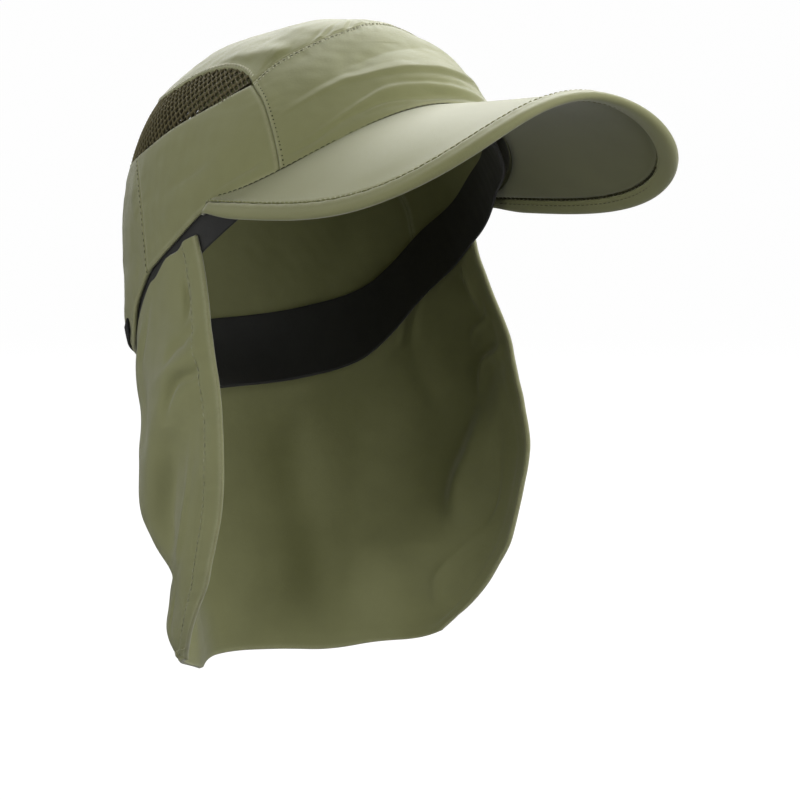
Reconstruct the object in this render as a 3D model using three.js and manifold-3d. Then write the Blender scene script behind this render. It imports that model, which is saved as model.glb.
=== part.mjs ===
import * as THREE from 'three';
import { mergeVertices } from 'three/addons/utils/BufferGeometryUtils.js';
import Module from 'manifold-3d';

// A cloth cap with a long arched peak, a mesh vent and a hanging neck flap, in its worn shape.
// Millimetres. The peak points to -Y, the wearer's right is -X and +Z is up.
// The origin is the middle of the headband, level with the peak's rear corners.
// A place on the crown is given by two angles in degrees, seen from the crown's middle:
// az turns from the front, and el rises from the widest level.

// Crown form
const CROWN_HALF_WIDTH = 82;
const CROWN_HALF_LENGTH = 103.4;
const CROWN_RISE = 94.2;
const CROWN_DEPTH = 94;
const RISE_POWER = 2.05;
const DEPTH_POWER = 4.5;
const WIDEST_LEVEL = -10;
const TOP_LEAN = 18;
const LEAN_POWER = 12;

// Cloth
const PANEL_THICKNESS = 2;
const VENT_THICKNESS = 1.2;
const SEAM_GAP_DEG = 0.1;

// Headband and strap
const BAND_CLEARANCE = 0.55;
const BAND_FRONT_SETBACK = 3.2;
const BAND_THICKNESS = 1.6;
const BAND_RISE_DEG = 11;
const BAND_DROP_FRONT_DEG = 3;
const BAND_DROP_SIDE_DEG = 10;
const STRAP_THICKNESS = 1.4;
const STRAP_START_AZ = 122.5;
const STRAP_LOW_DEG = 1.4;
const STRAP_END_HIGH_DEG = 4.4;
const STRAP_HIGH_DEG = 9.5;

// Peak: a sheet that bends across its width and runs nearly level from back to front
const PEAK_HALF_WIDTH = 86.1;
const PEAK_REACH = 149.1;
const PEAK_REAR_Y = -25.4;
const PEAK_SQUARENESS = 3.62;
const PEAK_CREST = 52.2;
const ARCH_DEPTH = 96.6;
const ARCH_HALF_WIDTH = 103.1;
const ARCH_POWER = 1.62;
const PEAK_FALL = 0.024;
const PEAK_TUCK = 5.5;
const PEAK_CORE = 2;
const PEAK_LOWER_TOP = -2.3;
const PEAK_LOWER_BOTTOM = -3.9;
const BINDING_TOP_WIDTH = 7;
const BINDING_UNDER_WIDTH = 8.7;
const PEAK_SEAT = 0.45;

// Neck flap
const FLAP_THICKNESS = 1.5;
const FLAP_HEM_THICKNESS = 2.3;
const FLAP_TOP_DROP_DEG = 2.6;
const FLAP_SEAT = 0.3;
const FLAP_TIP_Z = -197;
const FLAP_BACK_Z = -211;

// Sampling
const FRONT_COLUMNS = 11;
const SIDE_COLUMNS = 9;
const FRONT_ROWS = 13;
const PANEL_ROWS = 5;
const PEAK_COLUMNS = 30;
const PEAK_ROWS = 2;
const FLAP_COLUMNS = 16;
const FLAP_ROWS = 10;

// Lower edge of the crown cloth
const RIM = [
  { az: 0, el: 33.8 },
  { az: 12, el: 32.4 },
  { az: 27.5, el: 27.3 },
  { az: 44.5, el: 20.2 },
  { az: 63, el: 13.1 },
  { az: 77, el: 7.2 },
  { az: 89.5, el: -2.6 },
  { az: 105, el: -12.9 },
  { az: 117.4, el: -23.6 },
  { az: 126, el: -29.4 },
  { az: 146, el: -34 },
  { az: 180, el: -35.5 },
];

// Seam between the front panel and the top panel
const TOP_SEAM = [
  { az: 0, el: 70 },
  { az: 20, el: 69.2 },
  { az: 36, el: 63.4 },
  { az: 53.2, el: 55.4 },
  { az: 68.8, el: 46.5 },
];

// Lower and upper edges of the vent band
const VENT_LOW = [
  { az: 68.8, el: 46.5 },
  { az: 75.6, el: 43.8 },
  { az: 83.3, el: 40.2 },
  { az: 100, el: 32.9 },
  { az: 117, el: 24.8 },
  { az: 135, el: 19.5 },
  { az: 180, el: 16.5 },
];
const VENT_HIGH = [
  { az: 68.8, el: 46.5 },
  { az: 74.1, el: 49.7 },
  { az: 85.8, el: 52.5 },
  { az: 96.8, el: 52.2 },
  { az: 108, el: 49.2 },
  { az: 124, el: 40.5 },
  { az: 145, el: 35.5 },
  { az: 180, el: 33.5 },
];

// Upright seams: front panel to side panel, and side panel to rear panel
const FRONT_SEAM = [
  { el: 17.4, az: 51.5 },
  { el: 24, az: 53.2 },
  { el: 31.6, az: 56.3 },
  { el: 39.9, az: 61.4 },
  { el: 46.5, az: 68.8 },
];
const REAR_SEAM = [
  { el: -16.4, az: 107.4 },
  { el: -10.5, az: 108 },
  { el: -3.7, az: 109.3 },
  { el: 5.3, az: 111.6 },
  { el: 15.5, az: 117.7 },
  { el: 22, az: 124.4 },
];

// Soft folds of the front panel: a bowed line of crest or valley through (az, el)
const FRONT_FOLDS = [
  { az: -5, el: 46.4, span: 44, bow: 0.0036, width: 3.0, height: 2.4 },
  { az: -2, el: 41.4, span: 34, bow: 0.0085, width: 2.3, height: 3.4 },
  { az: -2, el: 37.2, span: 26, bow: 0.0045, width: 1.9, height: -2.6 },
  { az: 30, el: 38.5, span: 7, bow: 0.01, width: 2.4, height: -2.2 },
  { az: 12, el: 60, span: 46, bow: 0.004, width: 6, height: -2.6 },
];

// Level cuts of the neck flap: distance from the upright axis at the sides, behind them, at the
// quarters and at the back, and the angle where the front edge stands
const FLAP_LEVELS = [
  { z: -211, side: 70, flank: 64, quarter: 57, back: 69, edge: 98 },
  { z: -197, side: 77, flank: 70, quarter: 58, back: 72, edge: 91.4 },
  { z: -185, side: 84, flank: 74, quarter: 60, back: 76, edge: 83.2 },
  { z: -166, side: 89.5, flank: 75, quarter: 65, back: 82, edge: 75 },
  { z: -157, side: 92, flank: 77, quarter: 69, back: 85, edge: 72 },
  { z: -147, side: 94, flank: 81, quarter: 74, back: 88, edge: 69.5 },
  { z: -128, side: 96.5, flank: 86.5, quarter: 79.5, back: 93, edge: 66 },
  { z: -110, side: 98, flank: 88.5, quarter: 80.5, back: 96, edge: 64.6 },
  { z: -91, side: 96.5, flank: 87.5, quarter: 80.5, back: 97, edge: 65.1 },
  { z: -60, side: 92, flank: 87, quarter: 84, back: 97, edge: 69.2 },
  { z: -30, side: 86, flank: 85, quarter: 85, back: 97, edge: 75 },
  { z: -7, side: 82, flank: 84, quarter: 86, back: 97, edge: 77 },
];
const FLAP_FOLDS = [
  { az: 84, z: -118, turn: -0.25, wide: 8, tall: 36, height: -8 },
  { az: 120, z: -62, turn: 0, wide: 8, tall: 18, height: 3.5 },
  { az: 104, z: -86, turn: 0.3, wide: 5, tall: 20, height: -2 },
  { az: 150, z: -130, turn: 0.1, wide: 9, tall: 50, height: -4 },
];

const OLIVE = { roughness: 0.9, metalness: 0 };
const wasm = await Module();
wasm.setup();

const rad = THREE.MathUtils.degToRad;
const lerp = THREE.MathUtils.lerp;
const smoothstep = THREE.MathUtils.smoothstep;

// Smooth curve through a table's rows, read at x; the rows run along the column named by key
function read(table, key, column, x) {
  const rows = table[0][key] < table[table.length - 1][key] ? table : [...table].reverse();
  const last = rows.length - 1;
  if (x <= rows[0][key]) return rows[0][column];
  if (x >= rows[last][key]) return rows[last][column];
  const i = Math.min(rows.findIndex((r) => r[key] > x) - 1, last - 1);
  const slope = (a, b) => (rows[b][column] - rows[a][column]) / (rows[b][key] - rows[a][key]);
  const here = slope(i, i + 1);
  const before = i > 0 ? (slope(i - 1, i) + here) / 2 : here;
  const after = i < last - 1 ? (slope(i + 1, i + 2) + here) / 2 : here;
  const span = rows[i + 1][key] - rows[i][key];
  const t = (x - rows[i][key]) / span;
  const a = rows[i][column];
  const b = rows[i + 1][column];
  const t2 = t * t;
  const t3 = t2 * t;
  return (2 * t3 - 3 * t2 + 1) * a + (t3 - 2 * t2 + t) * span * before
    + (3 * t2 - 2 * t3) * b + (t3 - t2) * span * after;
}

// Angle from the front, 0 to 180, of a turn that may be past the back or to the other side
function fromFront(az) {
  const a = Math.abs(az) % 360;
  return a > 180 ? 360 - a : a;
}

function crownSurface(az, el) {
  const a = rad(az);
  const e = rad(el);
  const n = new THREE.Vector3(Math.cos(e) * Math.sin(a), -Math.cos(e) * Math.cos(a), Math.sin(e));
  const level = Math.hypot(n.x / CROWN_HALF_WIDTH, n.y / CROWN_HALF_LENGTH);
  const upright = n.z > 0 ? n.z / CROWN_RISE : -n.z / CROWN_DEPTH;
  const power = n.z > 0 ? RISE_POWER : DEPTH_POWER;
  let low = 0;
  let high = 200;
  for (let i = 0; i < 44; i++) {
    const r = (low + high) / 2;
    if ((r * level) ** 2 + (r * upright) ** power < 1) low = r;
    else high = r;
  }
  const p = n.multiplyScalar(low);
  p.y -= TOP_LEAN * Math.max(0, p.z / CROWN_RISE) ** LEAN_POWER;
  p.z += WIDEST_LEVEL;
  return p;
}

// Point that lies off the crown's surface by a distance, outward if it is positive
function crown(az, el, off = 0) {
  const e = Math.min(el, 89.4);
  const p = crownSurface(az, el);
  if (off === 0) return p;
  const step = 0.25;
  const along = crownSurface(az + step, e).sub(crownSurface(az - step, e));
  const rise = crownSurface(az, e + step).sub(crownSurface(az, e - step));
  const normal = along.cross(rise).normalize();
  return p.addScaledVector(normal, off);
}

// Closed body between two grids of points, the second one under the first.
// A ring joins its last column to its first one.
function bodyBetween(upper, lower, ring = false) {
  const rows = upper.length;
  const columns = upper[0].length;
  const positions = [];
  for (const grid of [upper, lower]) {
    for (const row of grid) {
      for (const p of row) positions.push(p.x, p.y, p.z);
    }
  }
  const at = (side, r, c) => side * rows * columns + r * columns + (c % columns);
  const index = [];
  const quad = (a, b, c, d) => index.push(a, b, c, a, c, d);
  const across = ring ? columns : columns - 1;
  for (let r = 0; r < rows - 1; r++) {
    for (let c = 0; c < across; c++) {
      quad(at(0, r, c), at(0, r, c + 1), at(0, r + 1, c + 1), at(0, r + 1, c));
      quad(at(1, r, c), at(1, r + 1, c), at(1, r + 1, c + 1), at(1, r, c + 1));
    }
    if (!ring) {
      const e = columns - 1;
      quad(at(0, r, 0), at(0, r + 1, 0), at(1, r + 1, 0), at(1, r, 0));
      quad(at(0, r, e), at(1, r, e), at(1, r + 1, e), at(0, r + 1, e));
    }
  }
  for (let c = 0; c < across; c++) {
    const e = rows - 1;
    quad(at(0, 0, c), at(1, 0, c), at(1, 0, c + 1), at(0, 0, c + 1));
    quad(at(0, e, c), at(0, e, c + 1), at(1, e, c + 1), at(1, e, c));
  }
  return closed(positions, index);
}

// Merged geometry without the triangles that have no area
function closed(positions, index) {
  const raw = new THREE.BufferGeometry();
  raw.setAttribute('position', new THREE.Float32BufferAttribute(positions, 3));
  raw.setIndex(index);
  const merged = mergeVertices(raw, 1e-4);
  const kept = [];
  const ids = merged.index.array;
  for (let i = 0; i < ids.length; i += 3) {
    const [a, b, c] = [ids[i], ids[i + 1], ids[i + 2]];
    if (a !== b && b !== c && a !== c) kept.push(a, b, c);
  }
  merged.setIndex(kept);
  return merged;
}

function toSolid(geometry) {
  return new wasm.Manifold(new wasm.Mesh({
    numProp: 3,
    vertProperties: new Float32Array(geometry.attributes.position.array),
    triVerts: new Uint32Array(geometry.index.array),
  }));
}

function toGeometry(solid) {
  const mesh = solid.getMesh();
  const geometry = new THREE.BufferGeometry();
  geometry.setAttribute('position', new THREE.Float32BufferAttribute(mesh.vertProperties, 3));
  geometry.setIndex(new THREE.Uint32BufferAttribute(mesh.triVerts, 1));
  return geometry;
}

// Panel of the crown: place(u, w) gives { az, el } for u across and w upward, both 0 to 1
function panel(columns, rows, place, thickness, lift = () => 0, sink = 0) {
  const outer = [];
  const inner = [];
  for (let j = 0; j <= rows; j++) {
    const out = [];
    const into = [];
    for (let i = 0; i <= columns; i++) {
      const u = i / columns;
      const w = j / rows;
      let { az, el } = place(u, w);
      const turn = SEAM_GAP_DEG / Math.cos(rad(el));
      if (i === 0) az += turn;
      if (i === columns) az -= turn;
      if (j === 0) el += SEAM_GAP_DEG;
      if (j === rows && el < 89) el -= SEAM_GAP_DEG;
      const height = lift(az, el, u, w) - sink;
      out.push(crown(az, el, height));
      into.push(crown(az, el, height - thickness));
    }
    outer.push(out);
    inner.push(into);
  }
  return bodyBetween(outer, inner);
}

const rimEl = (az) => read(RIM, 'az', 'el', fromFront(az));
const topSeamEl = (az) => read(TOP_SEAM, 'az', 'el', fromFront(az));
const ventLowEl = (az) => read(VENT_LOW, 'az', 'el', fromFront(az));
const ventHighEl = (az) => read(VENT_HIGH, 'az', 'el', fromFront(az));
const seamFront = { low: FRONT_SEAM[0], high: FRONT_SEAM[FRONT_SEAM.length - 1] };
const seamRear = { low: REAR_SEAM[0], high: REAR_SEAM[REAR_SEAM.length - 1] };

function frontSeamAz(w) {
  const el = lerp(rimEl(seamFront.low.az), topSeamEl(seamFront.high.az), w);
  return read(FRONT_SEAM, 'el', 'az', el);
}

function rearSeamAz(w) {
  const el = lerp(rimEl(seamRear.low.az), ventLowEl(seamRear.high.az), w);
  return read(REAR_SEAM, 'el', 'az', el);
}

function frontFold(az, el, u, w) {
  let height = 0;
  for (const f of FRONT_FOLDS) {
    const line = f.el - f.bow * (az - f.az) ** 2;
    const off = (el - line) / f.width;
    const along = (az - f.az) / f.span;
    height += f.height * Math.exp(-off * off - along ** 4);
  }
  const fade = Math.min(w, 1 - w, 0.7 * u, 0.7 * (1 - u)) / 0.14;
  return height * smoothstep(fade, 0, 1);
}

function frontPanel() {
  const place = (u, w) => {
    const s = 2 * u - 1;
    const low = rimEl(s * seamFront.low.az);
    const high = topSeamEl(s * seamFront.high.az);
    return { az: s * frontSeamAz(w), el: lerp(low, high, w) };
  };
  return panel(2 * FRONT_COLUMNS, FRONT_ROWS, place, PANEL_THICKNESS, frontFold);
}

// Side panel, on the +X side or on the -X side
function sidePanel(side) {
  const place = (u, w) => {
    const s = side > 0 ? u : 1 - u;
    const low = rimEl(lerp(seamFront.low.az, seamRear.low.az, s));
    const high = ventLowEl(lerp(seamFront.high.az, seamRear.high.az, s));
    return { az: side * lerp(frontSeamAz(w), rearSeamAz(w), s), el: lerp(low, high, w) };
  };
  return panel(SIDE_COLUMNS, PANEL_ROWS + 3, place, PANEL_THICKNESS);
}

function rearPanel() {
  const place = (u, w) => {
    const s = 2 * u - 1;
    const low = rimEl(180 + s * (180 - seamRear.low.az));
    const high = ventLowEl(180 + s * (180 - seamRear.high.az));
    return { az: 180 + s * (180 - rearSeamAz(w)), el: lerp(low, high, w) };
  };
  return panel(2 * SIDE_COLUMNS, PANEL_ROWS + 4, place, PANEL_THICKNESS);
}

// Mesh band: it starts as a point at each front seam and runs round the back
function ventBand() {
  const start = seamFront.high.az;
  const columns = 4 * SIDE_COLUMNS;
  const place = (u, w) => {
    const ends = 1.5;
    const az = lerp(start, 360 - start, u);
    const shown = Math.min(Math.max(az, start + ends), 360 - start - ends);
    return { az: shown, el: lerp(ventLowEl(shown), ventHighEl(shown), w) };
  };
  return panel(columns, 3, place, VENT_THICKNESS, () => 0, 0.3);
}

function topPanel() {
  const start = seamFront.high.az;
  const turns = [];
  for (let i = -FRONT_COLUMNS; i < FRONT_COLUMNS; i++) turns.push((start * i) / FRONT_COLUMNS);
  const rest = (360 - 2 * start) / (4 * SIDE_COLUMNS);
  for (let i = 0; i < 4 * SIDE_COLUMNS; i++) turns.push(start + rest * i);
  const outer = [];
  const inner = [];
  for (let j = 0; j <= PANEL_ROWS; j++) {
    const w = j / PANEL_ROWS;
    const at = (off) => turns.map((az) => {
      const low = fromFront(az) <= start ? topSeamEl(az) : ventHighEl(az);
      return crown(az, lerp(low + SEAM_GAP_DEG, 90, w), j === PANEL_ROWS ? 0 : off);
    });
    const top = crown(0, 90, 0);
    outer.push(at(0));
    inner.push(j === PANEL_ROWS ? turns.map(() => new THREE.Vector3(top.x, top.y, top.z
      - PANEL_THICKNESS)) : at(-PANEL_THICKNESS));
    if (j === PANEL_ROWS) outer[j] = turns.map(() => top.clone());
  }
  return bodyBetween(outer, inner, true);
}

// Ring that follows the rim at a distance under the crown's surface
function sweatband() {
  const outer = [];
  const inner = [];
  const columns = 46;
  for (let j = 0; j <= 3; j++) {
    const out = [];
    const into = [];
    for (let i = 0; i < columns; i++) {
      const az = (360 * i) / columns;
      const back = smoothstep(fromFront(az), 55, 78);
      const drop = lerp(BAND_DROP_FRONT_DEG, BAND_DROP_SIDE_DEG, back);
      const near = -PANEL_THICKNESS - BAND_CLEARANCE - BAND_FRONT_SETBACK * (1 - back);
      const el = lerp(rimEl(az) - drop, rimEl(az) + BAND_RISE_DEG, j / 3);
      out.push(crown(az, el, near));
      into.push(crown(az, el, near - BAND_THICKNESS));
    }
    outer.push(out);
    inner.push(into);
  }
  return bodyBetween(outer, inner, true);
}

function rearStrap() {
  const outer = [];
  const inner = [];
  const columns = 20;
  for (let j = 0; j <= 2; j++) {
    const out = [];
    const into = [];
    for (let i = 0; i <= columns; i++) {
      const az = lerp(STRAP_START_AZ, 360 - STRAP_START_AZ, i / columns);
      const open = smoothstep(fromFront(az), STRAP_START_AZ, STRAP_START_AZ + 28);
      const high = lerp(STRAP_END_HIGH_DEG, STRAP_HIGH_DEG, open);
      const el = rimEl(az) + lerp(STRAP_LOW_DEG, high, j / 2);
      out.push(crown(az, el, BAND_CLEARANCE + STRAP_THICKNESS));
      into.push(crown(az, el, BAND_CLEARANCE));
    }
    outer.push(out);
    inner.push(into);
  }
  return bodyBetween(outer, inner);
}

const signedPower = (x, p) => Math.sign(x) * Math.abs(x) ** p;

function archDrop(x) {
  const t = Math.min(Math.abs(x) / ARCH_HALF_WIDTH, 0.999);
  return ARCH_DEPTH * (1 - (1 - t ** ARCH_POWER) ** (1 / ARCH_POWER));
}

function archSlope(x) {
  return (archDrop(x + 0.1) - archDrop(x - 0.1)) / 0.2;
}

// The peak's rim in plan, cut into equal lengths along the bent sheet
function peakOutline(columns) {
  const fine = [];
  let length = 0;
  let last = null;
  const steps = 1600;
  for (let i = 0; i <= steps; i++) {
    const t = -Math.PI / 2 + (Math.PI * i) / steps;
    const x = PEAK_HALF_WIDTH * signedPower(Math.sin(t), 2 / PEAK_SQUARENESS);
    const y = PEAK_REAR_Y - PEAK_REACH * Math.abs(Math.cos(t)) ** (2 / PEAK_SQUARENESS);
    const p = new THREE.Vector3(x, y, -archDrop(x));
    if (last) length += p.distanceTo(last);
    fine.push({ p, length });
    last = p;
  }
  const points = [];
  let k = 0;
  for (let i = 0; i <= columns; i++) {
    const want = (length * i) / columns;
    while (k < steps && fine[k].length < want) k++;
    points.push(fine[k].p.clone());
  }
  return points;
}

const peakRim = peakOutline(PEAK_COLUMNS);
const peakRoot = peakRim.map((p, i) => {
  const s = (2 * i) / PEAK_COLUMNS - 1;
  const az = 79 * Math.sign(s) * Math.abs(s) ** 0.94;
  const q = crown(az, rimEl(az) + 1, -5);
  return new THREE.Vector3(q.x, q.y, 0);
});

// Inward direction in plan at each rim point, shortened where the sheet stands steep
const peakInward = peakRim.map((p, i) => {
  const a = peakRim[Math.max(i - 1, 0)];
  const b = peakRim[Math.min(i + 1, PEAK_COLUMNS)];
  const n = new THREE.Vector3(-(b.y - a.y), b.x - a.x, 0).normalize();
  n.x /= Math.hypot(1, archSlope(p.x));
  return n;
});

// Point of the peak: column i, distance s in from the rim or share r of the way to the root
function peakPoint(i, s, r, height) {
  const p = peakRim[i].clone().setZ(0).addScaledVector(peakInward[i], s);
  const q = p.lerp(peakRoot[i], r);
  const tuck = PEAK_TUCK * r * (1 - 0.75 * (q.x / PEAK_HALF_WIDTH) ** 2);
  const slope = archSlope(q.x);
  const normal = new THREE.Vector3(slope, -PEAK_FALL, 1).normalize();
  q.z = PEAK_CREST - archDrop(q.x) + PEAK_FALL * (q.y + 85) - tuck;
  return q.addScaledVector(normal, height);
}

function peakSheet(start, top, bottom) {
  const upper = [];
  const lower = [];
  for (let j = 0; j <= PEAK_ROWS; j++) {
    const r = j / PEAK_ROWS;
    const row = (h) => peakRim.map((p, i) => peakPoint(i, start, r, h));
    upper.push(row(top));
    lower.push(row(bottom));
  }
  return bodyBetween(upper, lower);
}

// Rolled cloth binding
function peakBinding() {
  const t = BINDING_TOP_WIDTH;
  const u = BINDING_UNDER_WIDTH;
  return alongRim([
    { s: t, h: 0.1 },
    { s: t - 1.6, h: 1.1 },
    { s: t - 4.2, h: 1.3 },
    { s: 0.9, h: 0.6 },
    { s: 0, h: -1.2 },
    { s: 0.5, h: -3.4 },
    { s: 2.2, h: -4.9 },
    { s: u - 1.6, h: -5.1 },
    { s: u, h: -4.2 },
    { s: u, h: PEAK_LOWER_TOP },
    { s: t, h: PEAK_LOWER_TOP },
  ]);
}

// Room that the binding takes, with a gap: a width from the rim above, and its lip below
function bindingRoom(width) {
  return alongRim([
    { s: width + 0.3, h: 3 },
    { s: -2, h: 3 },
    { s: -2, h: -9 },
    { s: BINDING_UNDER_WIDTH + 0.3, h: -9 },
    { s: BINDING_UNDER_WIDTH + 0.3, h: PEAK_LOWER_TOP + 0.2 },
    { s: width + 0.3, h: PEAK_LOWER_TOP + 0.2 },
  ], 3);
}

// Body with one closed cut along the rim, as rows of distance in from the rim and height.
// It may run on past the rim's rear ends.
function alongRim(cut, overrun = 0) {
  const positions = [];
  const columns = [];
  for (let i = 0; i <= PEAK_COLUMNS; i++) columns.push(i);
  for (const i of columns) {
    for (const c of cut) {
      const p = peakPoint(i, c.s, 0, c.h);
      const past = i === 0 || i === PEAK_COLUMNS ? overrun : 0;
      positions.push(p.x, p.y + past, p.z);
    }
  }
  const n = cut.length;
  const index = [];
  for (let i = 0; i < columns.length - 1; i++) {
    for (let k = 0; k < n; k++) {
      const a = i * n + k;
      const b = i * n + ((k + 1) % n);
      index.push(a, b, b + n, a, b + n, a + n);
    }
  }
  const outline = cut.map((c) => new THREE.Vector2(c.s, c.h));
  const end = (columns.length - 1) * n;
  const turned = THREE.ShapeUtils.area(outline) < 0;
  for (const [a, b, c] of THREE.ShapeUtils.triangulateShape(outline, [])) {
    const f = turned ? [a, c, b] : [a, b, c];
    index.push(f[0], f[2], f[1], end + f[0], end + f[1], end + f[2]);
  }
  return closed(positions, index);
}

// Filled crown form, used to seat the peak's root on the crown
function crownFill(off) {
  const columns = 48;
  const levels = [];
  for (let el = -30; el <= 60; el += 4.5) levels.push(el);
  const ring = (el) => {
    const row = [];
    for (let i = 0; i < columns; i++) row.push(crown((360 * i) / columns, el, off));
    return row;
  };
  const rows = levels.map(ring);
  const middle = (row) => row.map(() => new THREE.Vector3(0, 0, row[0].z));
  const positions = [];
  const index = [];
  const all = [middle(rows[0]), ...rows, middle(rows[rows.length - 1])];
  all.forEach((row) => row.forEach((p) => positions.push(p.x, p.y, p.z)));
  for (let j = 0; j < all.length - 1; j++) {
    for (let i = 0; i < columns; i++) {
      const a = j * columns + i;
      const b = j * columns + ((i + 1) % columns);
      index.push(a, b, b + columns, a, b + columns, a + columns);
    }
  }
  return toSolid(closed(positions, index));
}

function flapRadius(az, z) {
  const side = read(FLAP_LEVELS, 'z', 'side', z);
  const flank = read(FLAP_LEVELS, 'z', 'flank', z);
  const quarter = read(FLAP_LEVELS, 'z', 'quarter', z);
  const back = read(FLAP_LEVELS, 'z', 'back', z);
  const cut = [
    { az: 55, r: side },
    { az: 82, r: side },
    { az: 105, r: flank },
    { az: 129, r: quarter },
    { az: 180, r: back },
    { az: 231, r: quarter },
  ];
  let r = read(cut, 'az', 'r', az);
  for (const f of FLAP_FOLDS) {
    const up = z - f.z;
    const off = (az - f.az - f.turn * up) / f.wide;
    r += f.height * Math.exp(-off * off - (up / f.tall) ** 2);
  }
  return r;
}

// Point of the flap's outer face on one side: s runs from the front edge to the back's middle
// and v from the top edge to the lower hem
function flapPoint(s, v, off) {
  const topAz = lerp(FLAP_LEVELS[FLAP_LEVELS.length - 1].edge, 180, s);
  const seat = -PANEL_THICKNESS - BAND_CLEARANCE + FLAP_SEAT;
  const top = crown(topAz, rimEl(topAz) - FLAP_TOP_DROP_DEG, seat + off);
  const bottomZ = lerp(FLAP_TIP_Z, FLAP_BACK_Z, Math.sin((Math.PI / 2) * Math.min(1, s * 1.6)));
  const z = lerp(top.z, bottomZ, v);
  const tipZ = lerp(FLAP_LEVELS[FLAP_LEVELS.length - 1].z, FLAP_TIP_Z, v);
  const az = lerp(read(FLAP_LEVELS, 'z', 'edge', tipZ), 180, s);
  const topR = Math.hypot(top.x, top.y);
  const share = smoothstep(v, 0, 0.3);
  const r = lerp(topR, flapRadius(az, z) + off - FLAP_THICKNESS, share);
  return new THREE.Vector3(r * Math.sin(rad(az)), -r * Math.cos(rad(az)), z);
}

function neckFlap() {
  const shares = [0, 0.04, 0.085, 0.105];
  for (let i = 1; i <= FLAP_COLUMNS - 3; i++) shares.push(lerp(0.105, 1, i / (FLAP_COLUMNS - 3)));
  const outer = [];
  const inner = [];
  const drops = [];
  for (let j = 0; j <= FLAP_ROWS; j++) drops.push(j / FLAP_ROWS);
  drops.splice(FLAP_ROWS, 1, 0.955, 0.962, 1);
  for (const v of drops) {
    const row = (off, thick) => {
      const half = shares.map((s) => {
        const hem = s <= 0.09 || v > 0.958;
        return flapPoint(s, v, off + (hem && thick ? FLAP_HEM_THICKNESS - FLAP_THICKNESS : 0));
      });
      const other = half.slice(0, -1).map((p) => new THREE.Vector3(-p.x, p.y, p.z)).reverse();
      return [...half, ...other];
    };
    outer.push(row(FLAP_THICKNESS, true));
    inner.push(row(0, false));
  }
  return bodyBetween(inner, outer);
}

const cap = new THREE.Group();
cap.name = 'cap';

function add(name, geometry, color, finish = OLIVE) {
  geometry.computeVertexNormals();
  const material = new THREE.MeshStandardMaterial({ color, ...finish });
  const mesh = new THREE.Mesh(geometry, material);
  mesh.name = name;
  cap.add(mesh);
}

const seatForm = crownFill(PEAK_SEAT);
const largest = (solid) => solid.decompose().sort((a, b) => b.volume() - a.volume())[0];
const seated = (geometry) => toGeometry(largest(toSolid(geometry).subtract(seatForm)));
const inset = (geometry, width) => {
  const body = toSolid(geometry).subtract(toSolid(bindingRoom(width))).subtract(seatForm);
  return toGeometry(largest(body));
};

add('front_panel', frontPanel(), 0x8f8d72);
add('top_panel', topPanel(), 0xa09e86);
add('side_panel_right', sidePanel(-1), 0x72734f);
add('side_panel_left', sidePanel(1), 0x72734f);
add('rear_panel', rearPanel(), 0x727355);
add('vent_band', ventBand(), 0x44422e, { roughness: 0.95, metalness: 0 });
add('sweatband', sweatband(), 0x2b2b27, { roughness: 0.95, metalness: 0 });
add('rear_strap', rearStrap(), 0x151515, { roughness: 0.8, metalness: 0 });
add('peak_top', inset(peakSheet(BINDING_TOP_WIDTH - 1, 0, -PEAK_CORE), BINDING_TOP_WIDTH), 0xa8a58b);
add('peak_edge', seated(peakBinding()), 0x9a987c);
add('peak_underside',
  inset(peakSheet(BINDING_UNDER_WIDTH - 1, PEAK_LOWER_TOP, PEAK_LOWER_BOTTOM), BINDING_UNDER_WIDTH),
  0x52533e);
add('neck_flap', neckFlap(), 0x757658);

export default cap;
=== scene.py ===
"""Cloth sun cap with a long arched peak, a mesh vent, a rear strap and a hanging neck flap.

Shapes are worked out in millimetres and written in metres. The peak points to -Y, the
wearer's right is -X and +Z is up. A place on the crown is given by two angles in degrees,
seen from the crown's middle: az turns from the front, and el rises from the widest level.
"""

import logging
import math
from dataclasses import dataclass, replace
from enum import Enum
from typing import Callable, Sequence

import bpy
import numpy as np
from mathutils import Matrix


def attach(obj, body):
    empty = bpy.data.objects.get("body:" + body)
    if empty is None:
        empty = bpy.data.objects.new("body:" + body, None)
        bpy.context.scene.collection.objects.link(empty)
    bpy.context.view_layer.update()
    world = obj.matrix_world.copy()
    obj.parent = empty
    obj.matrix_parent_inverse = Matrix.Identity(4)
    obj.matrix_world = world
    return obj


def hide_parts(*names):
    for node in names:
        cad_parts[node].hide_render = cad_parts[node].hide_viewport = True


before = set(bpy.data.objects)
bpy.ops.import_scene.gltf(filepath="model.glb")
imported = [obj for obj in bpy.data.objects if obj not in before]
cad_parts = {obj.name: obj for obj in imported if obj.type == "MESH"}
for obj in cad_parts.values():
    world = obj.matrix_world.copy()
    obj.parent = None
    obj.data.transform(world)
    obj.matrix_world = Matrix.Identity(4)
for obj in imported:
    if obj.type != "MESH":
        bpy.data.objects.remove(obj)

log = logging.getLogger("cap")

Array = np.ndarray
Rows = tuple[tuple[float, ...], ...]
Color = tuple[float, float, float]

MM = 0.001
CLOTH_UNIT = 100.0
BODY = "root"
NEARLY_NONE = 1e-9
EDGE_KNOTS = 8
EDGE_REACH = 5.0
EDGE_MIX = (0.55, 0.45)
CAMERA_TURN = 39.3


# ---- shape helpers


def smoothstep(x: Array | float, low: float, high: float) -> Array:
    """Soft step from 0, where x is at low, to 1, where it is at high."""
    t = np.clip((np.asarray(x, float) - low) / (high - low), 0.0, 1.0)
    return t * t * (3.0 - 2.0 * t)


def lerp(a: Array | float, b: Array | float, t: Array | float) -> Array:
    """Value between a and b at the share t."""
    return np.asarray(a, float) + (np.asarray(b, float) - np.asarray(a, float)) * t


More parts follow.
